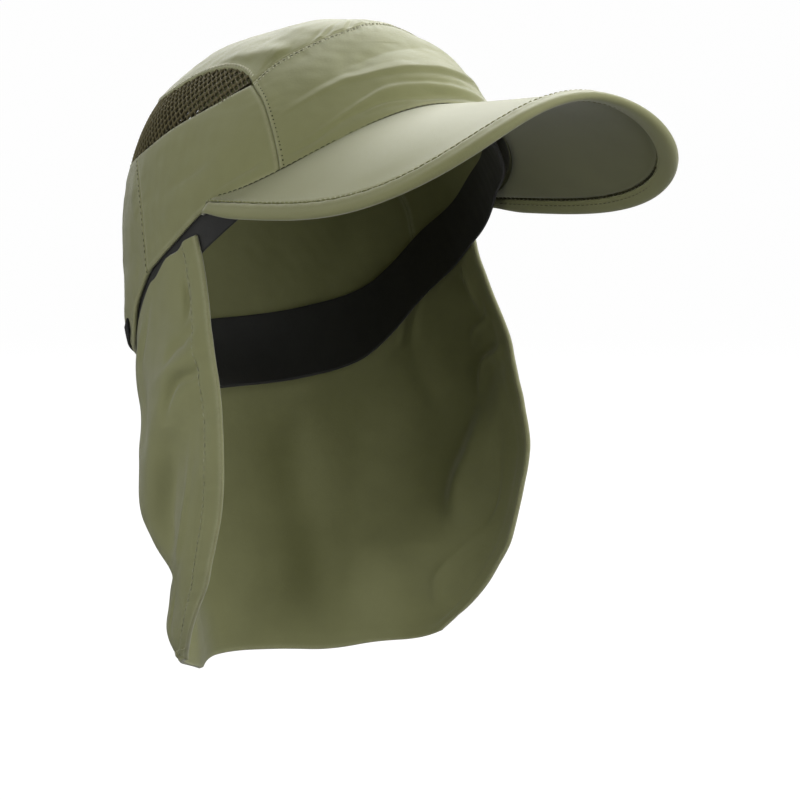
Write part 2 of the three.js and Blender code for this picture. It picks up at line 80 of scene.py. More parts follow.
def unit(v: Array) -> Array:
    """Vectors of length one in the same directions."""
    return v / np.maximum(np.linalg.norm(v, axis=-1, keepdims=True), NEARLY_NONE)


def from_front(az: Array | float) -> Array:
    """Turn from the front, 0 to 180, on either side."""
    a = np.abs(np.asarray(az, float)) % 360.0
    return np.where(a > 180.0, 360.0 - a, a)


def hump(x: Array | float, width: float) -> Array:
    """Smooth hump of height one, which has fallen to about a third at a width."""
    return np.exp(-((x / width) ** 2))


def running(steps: Array) -> Array:
    """Distances from the start of a path, given its steps."""
    return np.concatenate([[0.0], np.cumsum(steps)])


def blend_knots(t: Array, span: Array, ends: Sequence[Array], slopes: Sequence[Array]) -> Array:
    """Smooth curve between two knots.

    Args:
        t: Shares of the way from the first knot to the second.
        span: Distances between the knots.
        ends: Values at both knots.
        slopes: Slopes at both knots.

    Returns:
        The curve's values.
    """
    t2, t3 = t * t, t * t * t
    return (
        (2 * t3 - 3 * t2 + 1) * ends[0]
        + (t3 - 2 * t2 + t) * span * slopes[0]
        + (3 * t2 - 2 * t3) * ends[1]
        + (t3 - t2) * span * slopes[1]
    )


class SmoothTable:
    """Smooth curve through the rows of a short table."""

    def __init__(self, rows: Rows, column: int = 1) -> None:
        """Sort the rows and work out the slope at each.

        Args:
            rows: Rows whose first number is the place along the curve.
            column: Number in each row that the curve goes through.
        """
        ordered = sorted(rows, key=lambda row: row[0])
        self.at = np.array([row[0] for row in ordered], float)
        self.value = np.array([row[column] for row in ordered], float)
        slopes = np.diff(self.value) / np.diff(self.at)
        inner = (slopes[:-1] + slopes[1:]) / 2.0
        self.slope = np.concatenate([slopes[:1], inner, slopes[-1:]])

    def __call__(self, x: Array | float) -> Array:
        """Read the curve.

        Args:
            x: Places along the curve, held at its ends.

        Returns:
            The curve's values.
        """
        x = np.clip(np.asarray(x, float), self.at[0], self.at[-1])
        i = np.clip(np.searchsorted(self.at, x, side="right") - 1, 0, len(self.at) - 2)
        span = self.at[i + 1] - self.at[i]
        ends, slopes = (self.value[i], self.value[i + 1]), (self.slope[i], self.slope[i + 1])
        return blend_knots((x - self.at[i]) / span, span, ends, slopes)


class MirroredTable(SmoothTable):
    """Smooth curve over turns from the front, the same on both sides."""

    def __call__(self, x: Array | float) -> Array:
        """Read the curve at turns in degrees."""
        return super().__call__(from_front(x))


class SoftNoise:
    """Smooth seeded unevenness in space, made of plane waves."""

    SPREAD = (0.7, 1.6)
    HEIGHT = 0.7

    def __init__(self, seed: int, size: float, waves: int = 22) -> None:
        """Draw the waves.

        Args:
            seed: Seed of the draw.
            size: Typical distance between two crests, in millimetres.
            waves: Number of waves.
        """
        draw = np.random.default_rng(seed)
        self.way = unit(draw.normal(size=(waves, 3))) * (
            2 * math.pi / (size * draw.uniform(*self.SPREAD, size=(waves, 1)))
        )
        self.phase = draw.uniform(0, 2 * math.pi, size=waves)
        self.share = math.sqrt(2.0 / waves)

    def __call__(self, points: Array) -> Array:
        """Read the unevenness.

        Args:
            points: Places in millimetres.

        Returns:
            Numbers that are mostly from -1 to 1.
        """
        total = np.zeros(points.shape[:-1])
        for way, phase in zip(self.way, self.phase):
            total += np.cos(points @ way + phase)
        return total * self.share * self.HEIGHT


@dataclass(frozen=True)
class CreaseLine:
    """Raised or sunken line through places of a flat cloth chart."""

    places: Rows
    left: float = 3.0
    right: float = 3.0
    sharpness: float = 2.0

    STEPS = 5

    def smooth_places(self) -> Array:
        """Draw smooth curves between the line's places.

        Returns:
            Places and heights along the line, a row each.
        """
        rows = np.array(self.places, float)
        if len(rows) < 3:
            return rows
        t = np.arange(len(rows), dtype=float)
        fine = np.linspace(0, len(rows) - 1, self.STEPS * (len(rows) - 1) + 1)
        columns = [SmoothTable(tuple(zip(t, rows[:, k])))(fine) for k in range(3)]
        return np.stack(columns, axis=-1)

    def relief(self, across: Array, up: Array) -> Array:
        """Height that the crease adds.

        Args:
            across: Places across the chart, in millimetres.
            up: Places up the chart, in millimetres.

        Returns:
            Heights in millimetres.
        """
        line = self.smooth_places()
        best = np.full(across.shape, np.inf)
        height = np.zeros(across.shape)
        side = np.ones(across.shape)
        for a, b in zip(line[:-1], line[1:]):
            way = b[:2] - a[:2]
            length = max(float(np.hypot(*way)), NEARLY_NONE)
            dx, dy = across - a[0], up - a[1]
            t = np.clip((dx * way[0] + dy * way[1]) / length**2, 0.0, 1.0)
            off = np.hypot(dx - t * way[0], dy - t * way[1])
            near = off < best
            best = np.where(near, off, best)
            height = np.where(near, a[2] + (b[2] - a[2]) * t, height)
            side = np.where(near, way[0] * dy - way[1] * dx, side)
        width = np.where(side > 0, self.left, self.right)
        return height * np.exp(-((best / width) ** self.sharpness))


@dataclass(frozen=True)
class FoldLoft:
    """Folds given by lines that run across a panel, one above the other."""

    lines: tuple[Rows, ...]
    rounding: float = 0.55

    SAMPLES = 7
    MIDDLE_WEIGHT = 1.15
    LEAST_SPAN = 0.05

    def relief(self, az: Array, el: Array) -> Array:
        """Height of the folds.

        Args:
            az: Turns from the front, in degrees.
            el: Elevations in degrees.

        Returns:
            Heights in millimetres.
        """
        levels = np.stack([SmoothTable(line)(az) for line in self.lines])
        heights = np.stack([SmoothTable(line, 2)(az) for line in self.lines])
        total = np.zeros(az.shape)
        shares = np.linspace(-1, 1, self.SAMPLES)
        weights = self.MIDDLE_WEIGHT - np.abs(shares)
        for share, weight in zip(shares, weights / weights.sum()):
            at = el + share * self.rounding
            value = np.where(at < levels[0], heights[0], 0.0)
            for k in range(len(self.lines) - 1):
                span = np.maximum(levels[k + 1] - levels[k], self.LEAST_SPAN)
                within = (at >= levels[k]) & (at < levels[k + 1])
                up = np.clip((at - levels[k]) / span, 0, 1)
                height = lerp(heights[k], heights[k + 1], up)
                value = np.where(within, height, value)
            total += value * weight
        return total


@dataclass(frozen=True)
class EdgeProfile:
    """How a piece of cloth is shaped along one of its edges."""

    drop: float = 0.0
    drop_width: float = 0.8
    rise: float = 0.0
    rise_width: float = 3.0
    rows: tuple[float, ...] = ()
    row_dent: float = 0.35
    row_width: float = 0.7
    pucker: float = 0.0
    pucker_pitch: float = 9.0
    pucker_reach: float = 9.0

    RISE_BLEND = 0.5
    PUCKER_START = 0.4
    PUCKER_FULL = 3.0
    WANDER = (0.9, 0.31)
    SECOND_WAVE = (0.5, 1.73, 1.0)
    SWELL = (0.65, 0.35, 0.23, 2.0)

    def relief(self, off: Array, along: Array) -> Array:
        """Height of the edge's shape.

        Args:
            off: Distance from the edge, in millimetres.
            along: Distance along the edge, in millimetres.

        Returns:
            Heights in millimetres.
        """
        height = -self.drop * hump(off, self.drop_width)
        if self.rise:
            low, high = self.rise_width - self.RISE_BLEND, self.rise_width + self.RISE_BLEND
            height = height + self.rise * (1.0 - smoothstep(off, low, high))
        for row in self.rows:
            height = height - self.row_dent * hump(off - row, self.row_width)
        if self.pucker:
            turn = 2 * math.pi * along / self.pucker_pitch
            sway, slow = self.WANDER
            share, pace, lag = self.SECOND_WAVE
            wave = np.sin(turn + sway * np.sin(slow * turn)) + share * np.sin(pace * turn + lag)
            level, change, pace, lag = self.SWELL
            swell = level + change * np.sin(pace * turn + lag)
            reach = hump(off - self.PUCKER_FULL, self.pucker_reach)
            start = smoothstep(off, self.PUCKER_START, self.PUCKER_FULL)
            height = height + self.pucker * wave * swell * reach * start
        return height


FREE = EdgeProfile()


@dataclass(frozen=True)
class EdgeBand:
    """Band beside an edge of a piece of cloth: rubbed wear, on the binding's crest also painted
    highlight, and the binding's pinch.
    """

    at: float
    spread: float
    amount: float = 1.0

    def share(self, off: Array) -> Array:
        """Share of the band at distances from the edge."""
        return self.amount * np.exp(-((off - self.at) ** 2) / self.spread)


# ---- mesh helpers


class MeshDraft:
    """Points and faces of one mesh, gathered part by part."""

    def __init__(self) -> None:
        """Start with no points and no faces."""
        self.points: list[Array] = []
        self.cloth: list[Array] = []
        self.wear_and_painted_light: list[Array] = []
        self.faces: list[Array] = []
        self.count = 0

    def add_points(
        self, points: Array, cloth: Array | None = None, wear_and_painted_light: Array | None = None
    ) -> int:
        """Add points.

        Args:
            points: Places in millimetres.
            cloth: Two cloth coordinates for each point, in millimetres.
            wear_and_painted_light: Wear at each point, from 0, with 1 for a well rubbed seam, and
                painted light on the net and the binding's crest.

        Returns:
            Number of the first new point.
        """
        flat = np.asarray(points, float).reshape(-1, 3)
        start = self.count
        self.points.append(flat)
        self.cloth.append(np.zeros((len(flat), 2)) if cloth is None else np.reshape(cloth, (-1, 2)))
        self.wear_and_painted_light.append(np.zeros(len(flat)) if wear_and_painted_light is None else np.reshape(wear_and_painted_light, -1))
        self.count += len(flat)
        return start

    def add_faces(self, faces: Array) -> None:
        """Add faces, one row of point numbers each."""
        self.faces.append(np.asarray(faces, int))

    def add_grid_faces(self, ids: Array, ring: bool = False) -> None:
        """Join a grid of point numbers with quads.

        Args:
            ids: Point numbers in rows and columns.
            ring: Whether the last column joins the first.
        """
        if ring:
            ids = np.concatenate([ids, ids[:, :1]], axis=1)
        a, b = ids[:-1, :-1], ids[:-1, 1:]
        c, d = ids[1:, 1:], ids[1:, :-1]
        self.add_faces(np.stack([a, b, c, d], axis=-1).reshape(-1, 4))

    def volume(self, points: Array) -> float:
        """Work out the signed volume inside the faces.

        Args:
            points: Places of all the points.

        Returns:
            The volume, negative if the faces look inward.
        """
        total = 0.0
        for group in self.faces:
            a = points[group[:, 0]]
            for k in range(1, group.shape[1] - 1):
                cross = np.cross(points[group[:, k]], points[group[:, k + 1]])
                total += float(np.einsum("ij,ij->", a, cross))
        return total / 6.0

    def to_object(self, name: str, material: bpy.types.Material) -> bpy.types.Object:
        """Make a Blender object of the draft.

        Args:
            name: Name of the piece.
            material: Its finish.

        Returns:
            The new object, with its faces turned outward.
        """
        points = np.concatenate(self.points)
        cloth = np.concatenate(self.cloth) / CLOTH_UNIT
        wear_and_painted_light = np.concatenate(self.wear_and_painted_light)
        if self.volume(points) < 0:
            self.faces = [group[:, ::-1] for group in self.faces]
        corners = np.concatenate([group.reshape(-1) for group in self.faces])
        sizes = np.concatenate([np.full(len(g), g.shape[1]) for g in self.faces])
        mesh = bpy.data.meshes.new(name)
        mesh.vertices.add(len(points))
        mesh.vertices.foreach_set("co", (points * MM).astype(np.float32).reshape(-1))
        mesh.loops.add(len(corners))
        mesh.loops.foreach_set("vertex_index", corners.astype(np.int32))
        mesh.polygons.add(len(sizes))
        starts = np.concatenate([[0], np.cumsum(sizes)[:-1]])
        mesh.polygons.foreach_set("loop_start", starts.astype(np.int32))
        mesh.polygons.foreach_set("loop_total", sizes.astype(np.int32))
        mesh.polygons.foreach_set("use_smooth", np.ones(len(sizes), bool))
        layer = mesh.uv_layers.new(name="cloth")
        layer.data.foreach_set("uv", cloth[corners].astype(np.float32).reshape(-1))
        worn_and_lit = mesh.attributes.new("wear_and_painted_light", "FLOAT", "POINT")
        worn_and_lit.data.foreach_set("value", wear_and_painted_light.astype(np.float32))
        mesh.update(calc_edges=True)
        mesh.materials.append(material)
        piece = bpy.data.objects.new(name, mesh)
        bpy.context.scene.collection.objects.link(piece)
        return piece


def place_piece(
    draft: MeshDraft, name: str, finish: bpy.types.Material, slot: str, *nodes: str
) -> bpy.types.Object:
    """Make a piece, fix it to the cap and hide the frame nodes that it replaces.

    Args:
        draft: Its mesh.
        name: Its name.
        finish: Its material.
        slot: Not used.
        *nodes: Frame nodes that it replaces.

    Returns:
        The new piece.
    """
    piece = draft.to_object(name, finish)
    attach(piece, BODY)
    if nodes:
        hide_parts(*nodes)
    log.info("%s: %d faces", name, len(piece.data.polygons))
    return piece


@dataclass
class ClothGrid:
    """Grid of points on the shown side of a piece of cloth, with distances from its edges."""

    points: Array
    left: Array
    right: Array
    low: Array
    high: Array

    @classmethod
    def measured(cls, points: Array) -> "ClothGrid":
        """Make a grid with its distances worked out along rows and columns.

        Args:
            points: Places in rows and columns.

        Returns:
            The grid.
        """
        across = np.linalg.norm(np.diff(points, axis=1), axis=-1)
        upward = np.linalg.norm(np.diff(points, axis=0), axis=-1)
        left = np.concatenate([np.zeros((len(points), 1)), np.cumsum(across, axis=1)], axis=1)
        low = np.concatenate([np.zeros((1, points.shape[1])), np.cumsum(upward, axis=0)], axis=0)
        return cls(points, left, left[:, -1:] - left, low, low[-1:] - low)

    def moved(self, points: Array) -> "ClothGrid":
        """The same grid with its points elsewhere."""
        return ClothGrid(points, self.left, self.right, self.low, self.high)

    def turned(self) -> "ClothGrid":
        """The same grid with its columns in the other order."""
        parts = (self.points, self.right, self.left, self.low, self.high)
        return ClothGrid(*(part[:, ::-1] for part in parts))

    def cloth(self) -> Array:
        """Cloth coordinates of each point, in millimetres."""
        return np.stack([(self.left - self.right) / 2.0, self.low], axis=-1)

    def normals(self) -> Array:
        """Outward directions, one for each point."""
        rise, along = np.gradient(self.points, axis=(0, 1))
        return unit(np.cross(along, rise))

    def follow(self, edge: str, off: float) -> tuple[Array, Array]:
        """Path at a distance from one edge.

        Args:
            edge: left, right, low or high.
            off: Distance from the edge, in millimetres.

        Returns:
            The path's points and the outward directions there.
        """
        grids = [getattr(self, edge), self.points, self.normals()]
        if edge in ("low", "high"):
            grids = [grid.swapaxes(0, 1) for grid in grids]
        if edge in ("right", "high"):
            grids = [grid[:, ::-1] for grid in grids]
        steps = np.arange(grids[0].shape[1], dtype=float)
        path, out = [], []
        for distances, row, facing in zip(*grids):
            if distances[-1] < off:
                continue
            k = np.interp(off, distances, steps)
            i = min(int(k), len(steps) - 2)
            path.append(lerp(row[i], row[i + 1], k - i))
            out.append(facing[i])
        return np.array(path), unit(np.array(out))


def knots(length: float, coarse: float) -> Array:
    """Shares from 0 to 1 that lie close together near both ends.

    Args:
        length: Length of the side, in millimetres.
        coarse: Distance between knots in the middle, in millimetres.

    Returns:
        Rising shares from 0 to 1.
    """
    near = np.linspace(0, 1, EDGE_KNOTS + 1)
    near = EDGE_REACH * (EDGE_MIX[0] * near + EDGE_MIX[1] * near**2)
    inner = max(int(round((length - 2 * EDGE_REACH) / coarse)), 2)
    middle = np.linspace(EDGE_REACH, length - EDGE_REACH, inner + 1)[1:-1]
    return np.concatenate([near, middle, (length - near)[::-1]]) / length


def cloth_body(
    draft: MeshDraft,
    outer: Array,
    inner: Array,
    cloth: Array,
    wear_and_painted_light: Array | None = None,
    ring: bool = False,
    bulge: float = 0.0,
) -> None:
    """Add a closed body of cloth between two grids, with rounded edges.

    Args:
        draft: Mesh to add to.
        outer: Points of the shown side.
        inner: Points of the other side.
        cloth: Cloth coordinates of the points.
        wear_and_painted_light: Wear at the points, in the channel that also carries painted light.
        ring: Whether the last column joins the first.
        bulge: How far the edges stand out, in millimetres.
    """
    number = np.arange(outer[..., 0].size).reshape(outer.shape[:2])
    top = number + draft.add_points(outer, cloth, wear_and_painted_light)
    under = number + draft.add_points(inner, cloth, wear_and_painted_light)
    draft.add_grid_faces(top, ring)
    draft.add_grid_faces(under[:, ::-1], ring)
    sides = [(np.s_[0, :], np.s_[1, :], False), (np.s_[-1, :], np.s_[-2, :], True)]
    if not ring:
        sides += [(np.s_[:, 0], np.s_[:, 1], True), (np.s_[:, -1], np.s_[:, -2], False)]
    for edge, within, turned in sides:
        away = unit(outer[edge] - outer[within])
        middle = (outer[edge] + inner[edge]) / 2.0 + away * bulge
        start = draft.add_points(middle, cloth[edge], None if wear_and_painted_light is None else wear_and_painted_light[edge])
        loop = np.arange(len(middle)) + start
        rows = np.stack([under[edge], loop, top[edge]])
        if turned:
            rows = rows[::-1]
        draft.add_grid_faces(rows, ring)


# ---- finishes


class Weave(Enum):
    """Way in which the threads of a cloth cross."""

    PLAIN = "plain"
    TWILL = "twill"
    KNIT = "knit"


class NodeBoard:
    """Short way to add and join the nodes of a material."""

    MIX_SHARE, MIX_FIRST, MIX_SECOND = 0, 6, 7

    def __init__(self, tree: bpy.types.NodeTree) -> None:
        """Keep the tree that the nodes go into."""
        self.tree = tree

    def add(self, kind: str, **values: object) -> bpy.types.Node:
        """Add a node and set its properties.

        Args:
            kind: Blender's name for the node.
            **values: Properties to set.

        Returns:
            The new node.
        """
        node = self.tree.nodes.new(kind)
        for key, value in values.items():
            setattr(node, key, value)
        return node

    def join(self, output: bpy.types.NodeSocket, target: bpy.types.NodeSocket) -> None:
        """Link one socket to another."""
        self.tree.links.new(output, target)

    def math(self, operation: str, a: object, b: object = None) -> bpy.types.NodeSocket:
        """Add a sum or other operation.

        Args:
            operation: Blender's name for the operation.
            a: First number or socket.
            b: Second number or socket.

        Returns:
            The result's socket.
        """
        node = self.add("ShaderNodeMath", operation=operation)
        for socket, value in zip(node.inputs, (a, b)):
            if isinstance(value, bpy.types.NodeSocket):
                self.join(value, socket)
            elif value is not None:
                socket.default_value = value
        return node.outputs[0]

    def mix(self, share: object, a: object, b: object) -> bpy.types.NodeSocket:
        """Mix two colours.

        Args:
            share: Share of the second colour, a number or socket.
            a: First colour or socket.
            b: Second colour or socket.

        Returns:
            The mixed colour's socket.
        """
        node = self.add("ShaderNodeMix", data_type="RGBA")
        places = (self.MIX_SHARE, self.MIX_FIRST, self.MIX_SECOND)
        for place, value in zip(places, (share, a, b)):
            socket = node.inputs[place]
            if isinstance(value, bpy.types.NodeSocket):
                self.join(value, socket)
            elif isinstance(value, tuple):
                socket.default_value = (*value, 1.0)
            else:
                socket.default_value = value
        return node.outputs[2]


@dataclass(frozen=True)
class ClothFinish:
    """Woven or knitted cloth: its colour, threads, unevenness and sheen."""

    name: str
    color: Color
    shade: Color
    # Colour of rubbed cloth; on the net's cord tops and the binding's crest it is painted light.
    worn_and_lit: Color
    weave: Weave = Weave.PLAIN
    pitch: float = 0.62
    thread_depth: float = 0.07
    thread_shade: float = 0.16
    mottle_size: float = 0.018
    grain_depth: float = 0.1
    roughness: float = 0.72
    sheen: float = 0.5
    specular: float = 0.45

    NOISE_ROUGHNESS = 0.6
    MOTTLE_DETAIL = 4.0
    MOTTLE_RANGE = (0.35, 0.68)
    GRAIN_SIZE = 0.0011
    GRAIN_DETAIL = 3.0
    WORN_AND_LIT_STRENGTH = 1.2
    GAP_SHADE = 0.35
    ROUGHNESS_SPREAD = 0.07
    SHEEN_ROUGHNESS = 0.45
    GRAIN_STRENGTH = 0.55
    THREAD_STRENGTH = 0.6

    def thread_pattern(self, board: NodeBoard) -> bpy.types.NodeSocket:
        """Work out the height of the threads over the cloth.

        Args:
            board: Where the nodes go.

        Returns:
            Socket with heights from 0 to 1.
        """
        place = board.add("ShaderNodeUVMap", uv_map="cloth")
        parts = board.add("ShaderNodeSeparateXYZ")
        board.join(place.outputs[0], parts.inputs[0])
        turn = 2 * math.pi * CLOTH_UNIT / self.pitch
        across = board.math("MULTIPLY", parts.outputs[0], turn)
        upward = board.math("MULTIPLY", parts.outputs[1], turn)
        if self.weave is Weave.TWILL:
            halves = [board.math("MULTIPLY", way, 0.5) for way in (across, upward)]
            wave = board.math("SINE", board.math("ADD", *halves))
        else:
            kind = "COSINE" if self.weave is Weave.KNIT else "SINE"
            wave = board.math("MULTIPLY", board.math("SINE", across), board.math(kind, upward))
        return board.math("ADD", board.math("MULTIPLY", wave, 0.5), 0.5)

    def noise(
        self, board: NodeBoard, place: bpy.types.NodeSocket, size: float, detail: float
    ) -> bpy.types.NodeSocket:
        """Add a noise pattern.

        Args:
            board: Where the nodes go.
            place: Socket with the place in space.
            size: Size of its patches, in metres.
            detail: How many finer layers it has.

        Returns:
            The pattern's socket.
        """
        node = board.add("ShaderNodeTexNoise")
        node.inputs["Scale"].default_value = 1.0 / size
        node.inputs["Detail"].default_value = detail
        node.inputs["Roughness"].default_value = self.NOISE_ROUGHNESS
        board.join(place, node.inputs["Vector"])
        return node.outputs["Fac"]

    def bump(
        self, board: NodeBoard, height: bpy.types.NodeSocket, strength: float, depth: float
    ) -> bpy.types.Node:
        """Add a bump.

        Args:
            board: Where the nodes go.
            height: Socket with the height.
            strength: Share of the bump that shows.
            depth: Its depth in millimetres.

        Returns:
            The bump's node.
        """
        node = board.add("ShaderNodeBump")
        node.inputs["Strength"].default_value = strength
        node.inputs["Distance"].default_value = depth * MM
        board.join(height, node.inputs["Height"])
        return node

    def build(self) -> bpy.types.Material:
        """Make the material.

        Returns:
            The material.
        """
        material = bpy.data.materials.new(self.name)
        material.use_nodes = True
        board = NodeBoard(material.node_tree)
        shader = material.node_tree.nodes["Principled BSDF"]
        space = board.add("ShaderNodeTexCoord").outputs["Object"]
        threads = self.thread_pattern(board)
        mottle = self.noise(board, space, self.mottle_size, self.MOTTLE_DETAIL)
        grain = self.noise(board, space, self.GRAIN_SIZE, self.GRAIN_DETAIL)

        patches = board.add("ShaderNodeMapRange")
        patches.inputs["From Min"].default_value = self.MOTTLE_RANGE[0]
        patches.inputs["From Max"].default_value = self.MOTTLE_RANGE[1]
        board.join(mottle, patches.inputs["Value"])
        color = board.mix(patches.outputs[0], self.color, self.shade)
        # Point channel: rubbed wear, and painted light on the net's cords and the binding's crest.
        worn_and_lit = board.add("ShaderNodeAttribute", attribute_name="wear_and_painted_light")
        rubbed_and_lit = board.math("MULTIPLY", worn_and_lit.outputs["Fac"], grain)
        color = board.mix(board.math("MULTIPLY", rubbed_and_lit, self.WORN_AND_LIT_STRENGTH), color, self.worn_and_lit)
        gaps = board.math("SUBTRACT", 1.0, threads)
        dark = board.math("MULTIPLY", gaps, self.thread_shade)
        color = board.mix(dark, color, tuple(self.GAP_SHADE * c for c in self.shade))
        board.join(color, shader.inputs["Base Color"])

        rough = board.add("ShaderNodeMapRange")
        rough.inputs["To Min"].default_value = self.roughness - self.ROUGHNESS_SPREAD
        rough.inputs["To Max"].default_value = min(self.roughness + self.ROUGHNESS_SPREAD, 1.0)
        board.join(grain, rough.inputs["Value"])
        board.join(rough.outputs[0], shader.inputs["Roughness"])
        shader.inputs["Sheen Weight"].default_value = self.sheen
        shader.inputs["Sheen Roughness"].default_value = self.SHEEN_ROUGHNESS
        shader.inputs["Specular IOR Level"].default_value = self.specular

        uneven = self.bump(board, grain, self.GRAIN_STRENGTH, self.grain_depth)
        woven = self.bump(board, threads, self.THREAD_STRENGTH, self.thread_depth)
        board.join(uneven.outputs[0], woven.inputs["Normal"])
        board.join(woven.outputs[0], shader.inputs["Normal"])
        return material


OLIVE = ClothFinish(
    name="olive_cloth",
    color=(0.292, 0.298, 0.130),
    shade=(0.270, 0.276, 0.118),
    worn_and_lit=(0.40, 0.40, 0.23),
)
OLIVE_PEAK = ClothFinish(
    name="olive_peak_cloth",
    color=(0.302, 0.306, 0.138),
    shade=(0.286, 0.290, 0.128),
    worn_and_lit=(0.42, 0.415, 0.25),
    mottle_size=0.03,
)
# Darker copy of the olive cloth for the peak's underside: painted shade.
OLIVE_UNDER_PAINTED_SHADE = ClothFinish(
    name="olive_under_painted_shade",
    color=(0.187, 0.190, 0.086),
    shade=(0.167, 0.170, 0.076),
    worn_and_lit=(0.26, 0.26, 0.15),
)
OLIVE_THREAD = ClothFinish(
    name="olive_thread",
    color=(0.42, 0.42, 0.26),
    shade=(0.36, 0.36, 0.21),
    worn_and_lit=(0.50, 0.49, 0.34),
    weave=Weave.TWILL,
    pitch=0.5,
    mottle_size=0.006,
    specular=0.35,
)
PALE_THREAD = replace(
    OLIVE_THREAD,
    name="pale_thread",
    color=(0.60, 0.59, 0.40),
    shade=(0.50, 0.49, 0.33),
    worn_and_lit=(0.65, 0.64, 0.45),
)
# Near-black colour that paints shade: needle holes, seam lines, the recess under the binding, and
# with real stitching the joint of peak and crown.
PAINTED_SHADE_THREAD = replace(
    OLIVE_THREAD,
    name="painted_shade_thread",
    color=(0.062, 0.060, 0.028),
    shade=(0.045, 0.044, 0.020),
    worn_and_lit=(0.09, 0.088, 0.05),
    sheen=0.05,
    specular=0.1,
)
# Net: the near-black base paints the shade in the holes and under the cords; the lighter worn
# colour on the cord tops paints their light.
NET_PAINTED_SHADE = ClothFinish(
    name="net_cloth_painted_shade",
    color=(0.045, 0.040, 0.018),
    shade=(0.036, 0.032, 0.014),
    worn_and_lit=(0.175, 0.148, 0.062),
    weave=Weave.KNIT,
    pitch=0.4,
    mottle_size=0.008,
    sheen=0.03,
    specular=0.2,
)
# Near-black band cloth: partly its own dark colour, partly painted shade of the gap between the hem
# and the flap.
CHARCOAL_AND_PAINTED_SHADE = ClothFinish(
    name="charcoal_cloth_and_painted_shade",
    color=(0.026, 0.026, 0.024),
    shade=(0.019, 0.019, 0.018),
    worn_and_lit=(0.05, 0.05, 0.046),
    weave=Weave.KNIT,
    pitch=0.8,
    sheen=0.15,
)
WEBBING = ClothFinish(
    name="black_webbing",
    color=(0.013, 0.013, 0.013),
    shade=(0.009, 0.009, 0.009),
    worn_and_lit=(0.03, 0.03, 0.03),
    weave=Weave.TWILL,
    pitch=1.3,
    thread_depth=0.16,
    sheen=0.1,
)


class Wardrobe:
    """The finished materials, each made once."""

    def __init__(self) -> None:
        """Start with none made."""
        self.made: dict[str, bpy.types.Material] = {}

    def get(self, finish: ClothFinish) -> bpy.types.Material:
        """Look up the material of a finish, and make it the first time.

        Args:
            finish: The finish.

        Returns:
            Its material.
        """
        if finish.name not in self.made:
            self.made[finish.name] = finish.build()
        return self.made[finish.name]


# ---- stitching


@dataclass(frozen=True)
class Stitching:
    """Thread laid in single stitches along a path."""

    length: float = 2.4
    gap: float = 0.8
    width: float = 0.75
    height: float = 0.55
    lift: float = 0.12
    uneven: float = 0.0
    sides: int = 6

    RINGS = (
        (-0.5, 0.35, -0.4), (-0.3, 0.95, 0.0), (0.0, 1.0, 0.16), (0.3, 0.95, 0.0),
        (0.5, 0.35, -0.4),
    )
    FIRST = 0.15

    def sew(
        self, draft: MeshDraft, path: Array, normals: Array, sway: float = 0.0, pitch: float = 0.0
    ) -> None:
        """Lay stitches along a path.

        Args:
            draft: Mesh to add to.
            path: Points of the path.
            normals: Outward directions along it.
            sway: Half the width of a zigzag, in millimetres.
            pitch: Length of one stitch of the zigzag along the path.
        """
        along = running(np.linalg.norm(np.diff(path, axis=0), axis=1))
        stride = pitch if sway else self.length + self.gap
        count = int(along[-1] / stride)
        if count < 1:
            return
        draw = np.random.default_rng(count)
        shift = draw.uniform(-0.5, 0.5, count) * self.uneven
        starts = (np.arange(count) + self.FIRST + shift) * stride
        reach = (pitch if sway else self.length) * (1 - draw.uniform(0, 1, count) * self.uneven)
        begin = self.read(path, along, starts)
        end = self.read(path, along, starts + reach)
        facing = unit(self.read(normals, along, starts + reach / 2))
        if sway:
            beside = unit(np.cross(end - begin, facing))
            turn = np.where(np.arange(count) % 2 == 0, 1.0, -1.0)[:, None] * sway
            begin, end = begin + beside * turn, end - beside * turn
        self.lay(draft, begin, end, facing)

    def read(self, values: Array, along: Array, at: Array) -> Array:
        """Values of a path at distances along it."""
        return np.stack([np.interp(at, along, values[:, k]) for k in range(3)], axis=-1)

    def lay(self, draft: MeshDraft, begin: Array, end: Array, facing: Array) -> None:
        """Add one stitch from each begin to each end.

        Args:
            draft: Mesh to add to.
            begin: Places where the stitches start.
            end: Places where they end.
            facing: Outward directions.
        """
        way = unit(end - begin)
        span = np.linalg.norm(end - begin, axis=1, keepdims=True)
        beside = unit(np.cross(way, facing))
        middle = (begin + end) / 2 + facing * self.lift
        turns = 2 * math.pi * np.arange(self.sides) / self.sides
        rings = []
        for share, size, rise in self.RINGS:
            centre = middle + way * span * share + facing * rise * self.height
            ring = [
                centre
                + beside * math.cos(t) * self.width / 2 * size
                + facing * math.sin(t) * self.height / 2 * size
                for t in turns
            ]
            rings.append(np.stack(ring, axis=1))
        points = np.stack(rings, axis=1)
        start = draft.add_points(points, points[..., :2])
        shape = (len(begin), len(self.RINGS), self.sides)
        ids = np.arange(math.prod(shape)).reshape(shape) + start
        ids = np.concatenate([ids, ids[:, :, :1]], axis=2)
        quads = [ids[:, :-1, :-1], ids[:, :-1, 1:], ids[:, 1:, 1:], ids[:, 1:, :-1]]
        draft.add_faces(np.stack(quads, axis=-1).reshape(-1, 4))
        draft.add_faces(ids[:, 0, :-1][:, ::-1])
        draft.add_faces(ids[:, -1, :-1])


def thread_piece(
    name: str,
    finish: bpy.types.Material,
    slot: str,
    kind: Stitching,
    *paths: tuple[Array, Array],
) -> bpy.types.Object:
    """Make a piece of one kind of stitches.

    Args:
        name: Its name.
        finish: Its material.
        slot: The record's material slot.
        kind: The stitches.
        *paths: Points of each path and the outward directions there.

    Returns:
        The new piece.
    """
    draft = MeshDraft()
    for path, facing in paths:
        kind.sew(draft, path, facing)
    return place_piece(draft, name, finish, slot)


# ---- crown


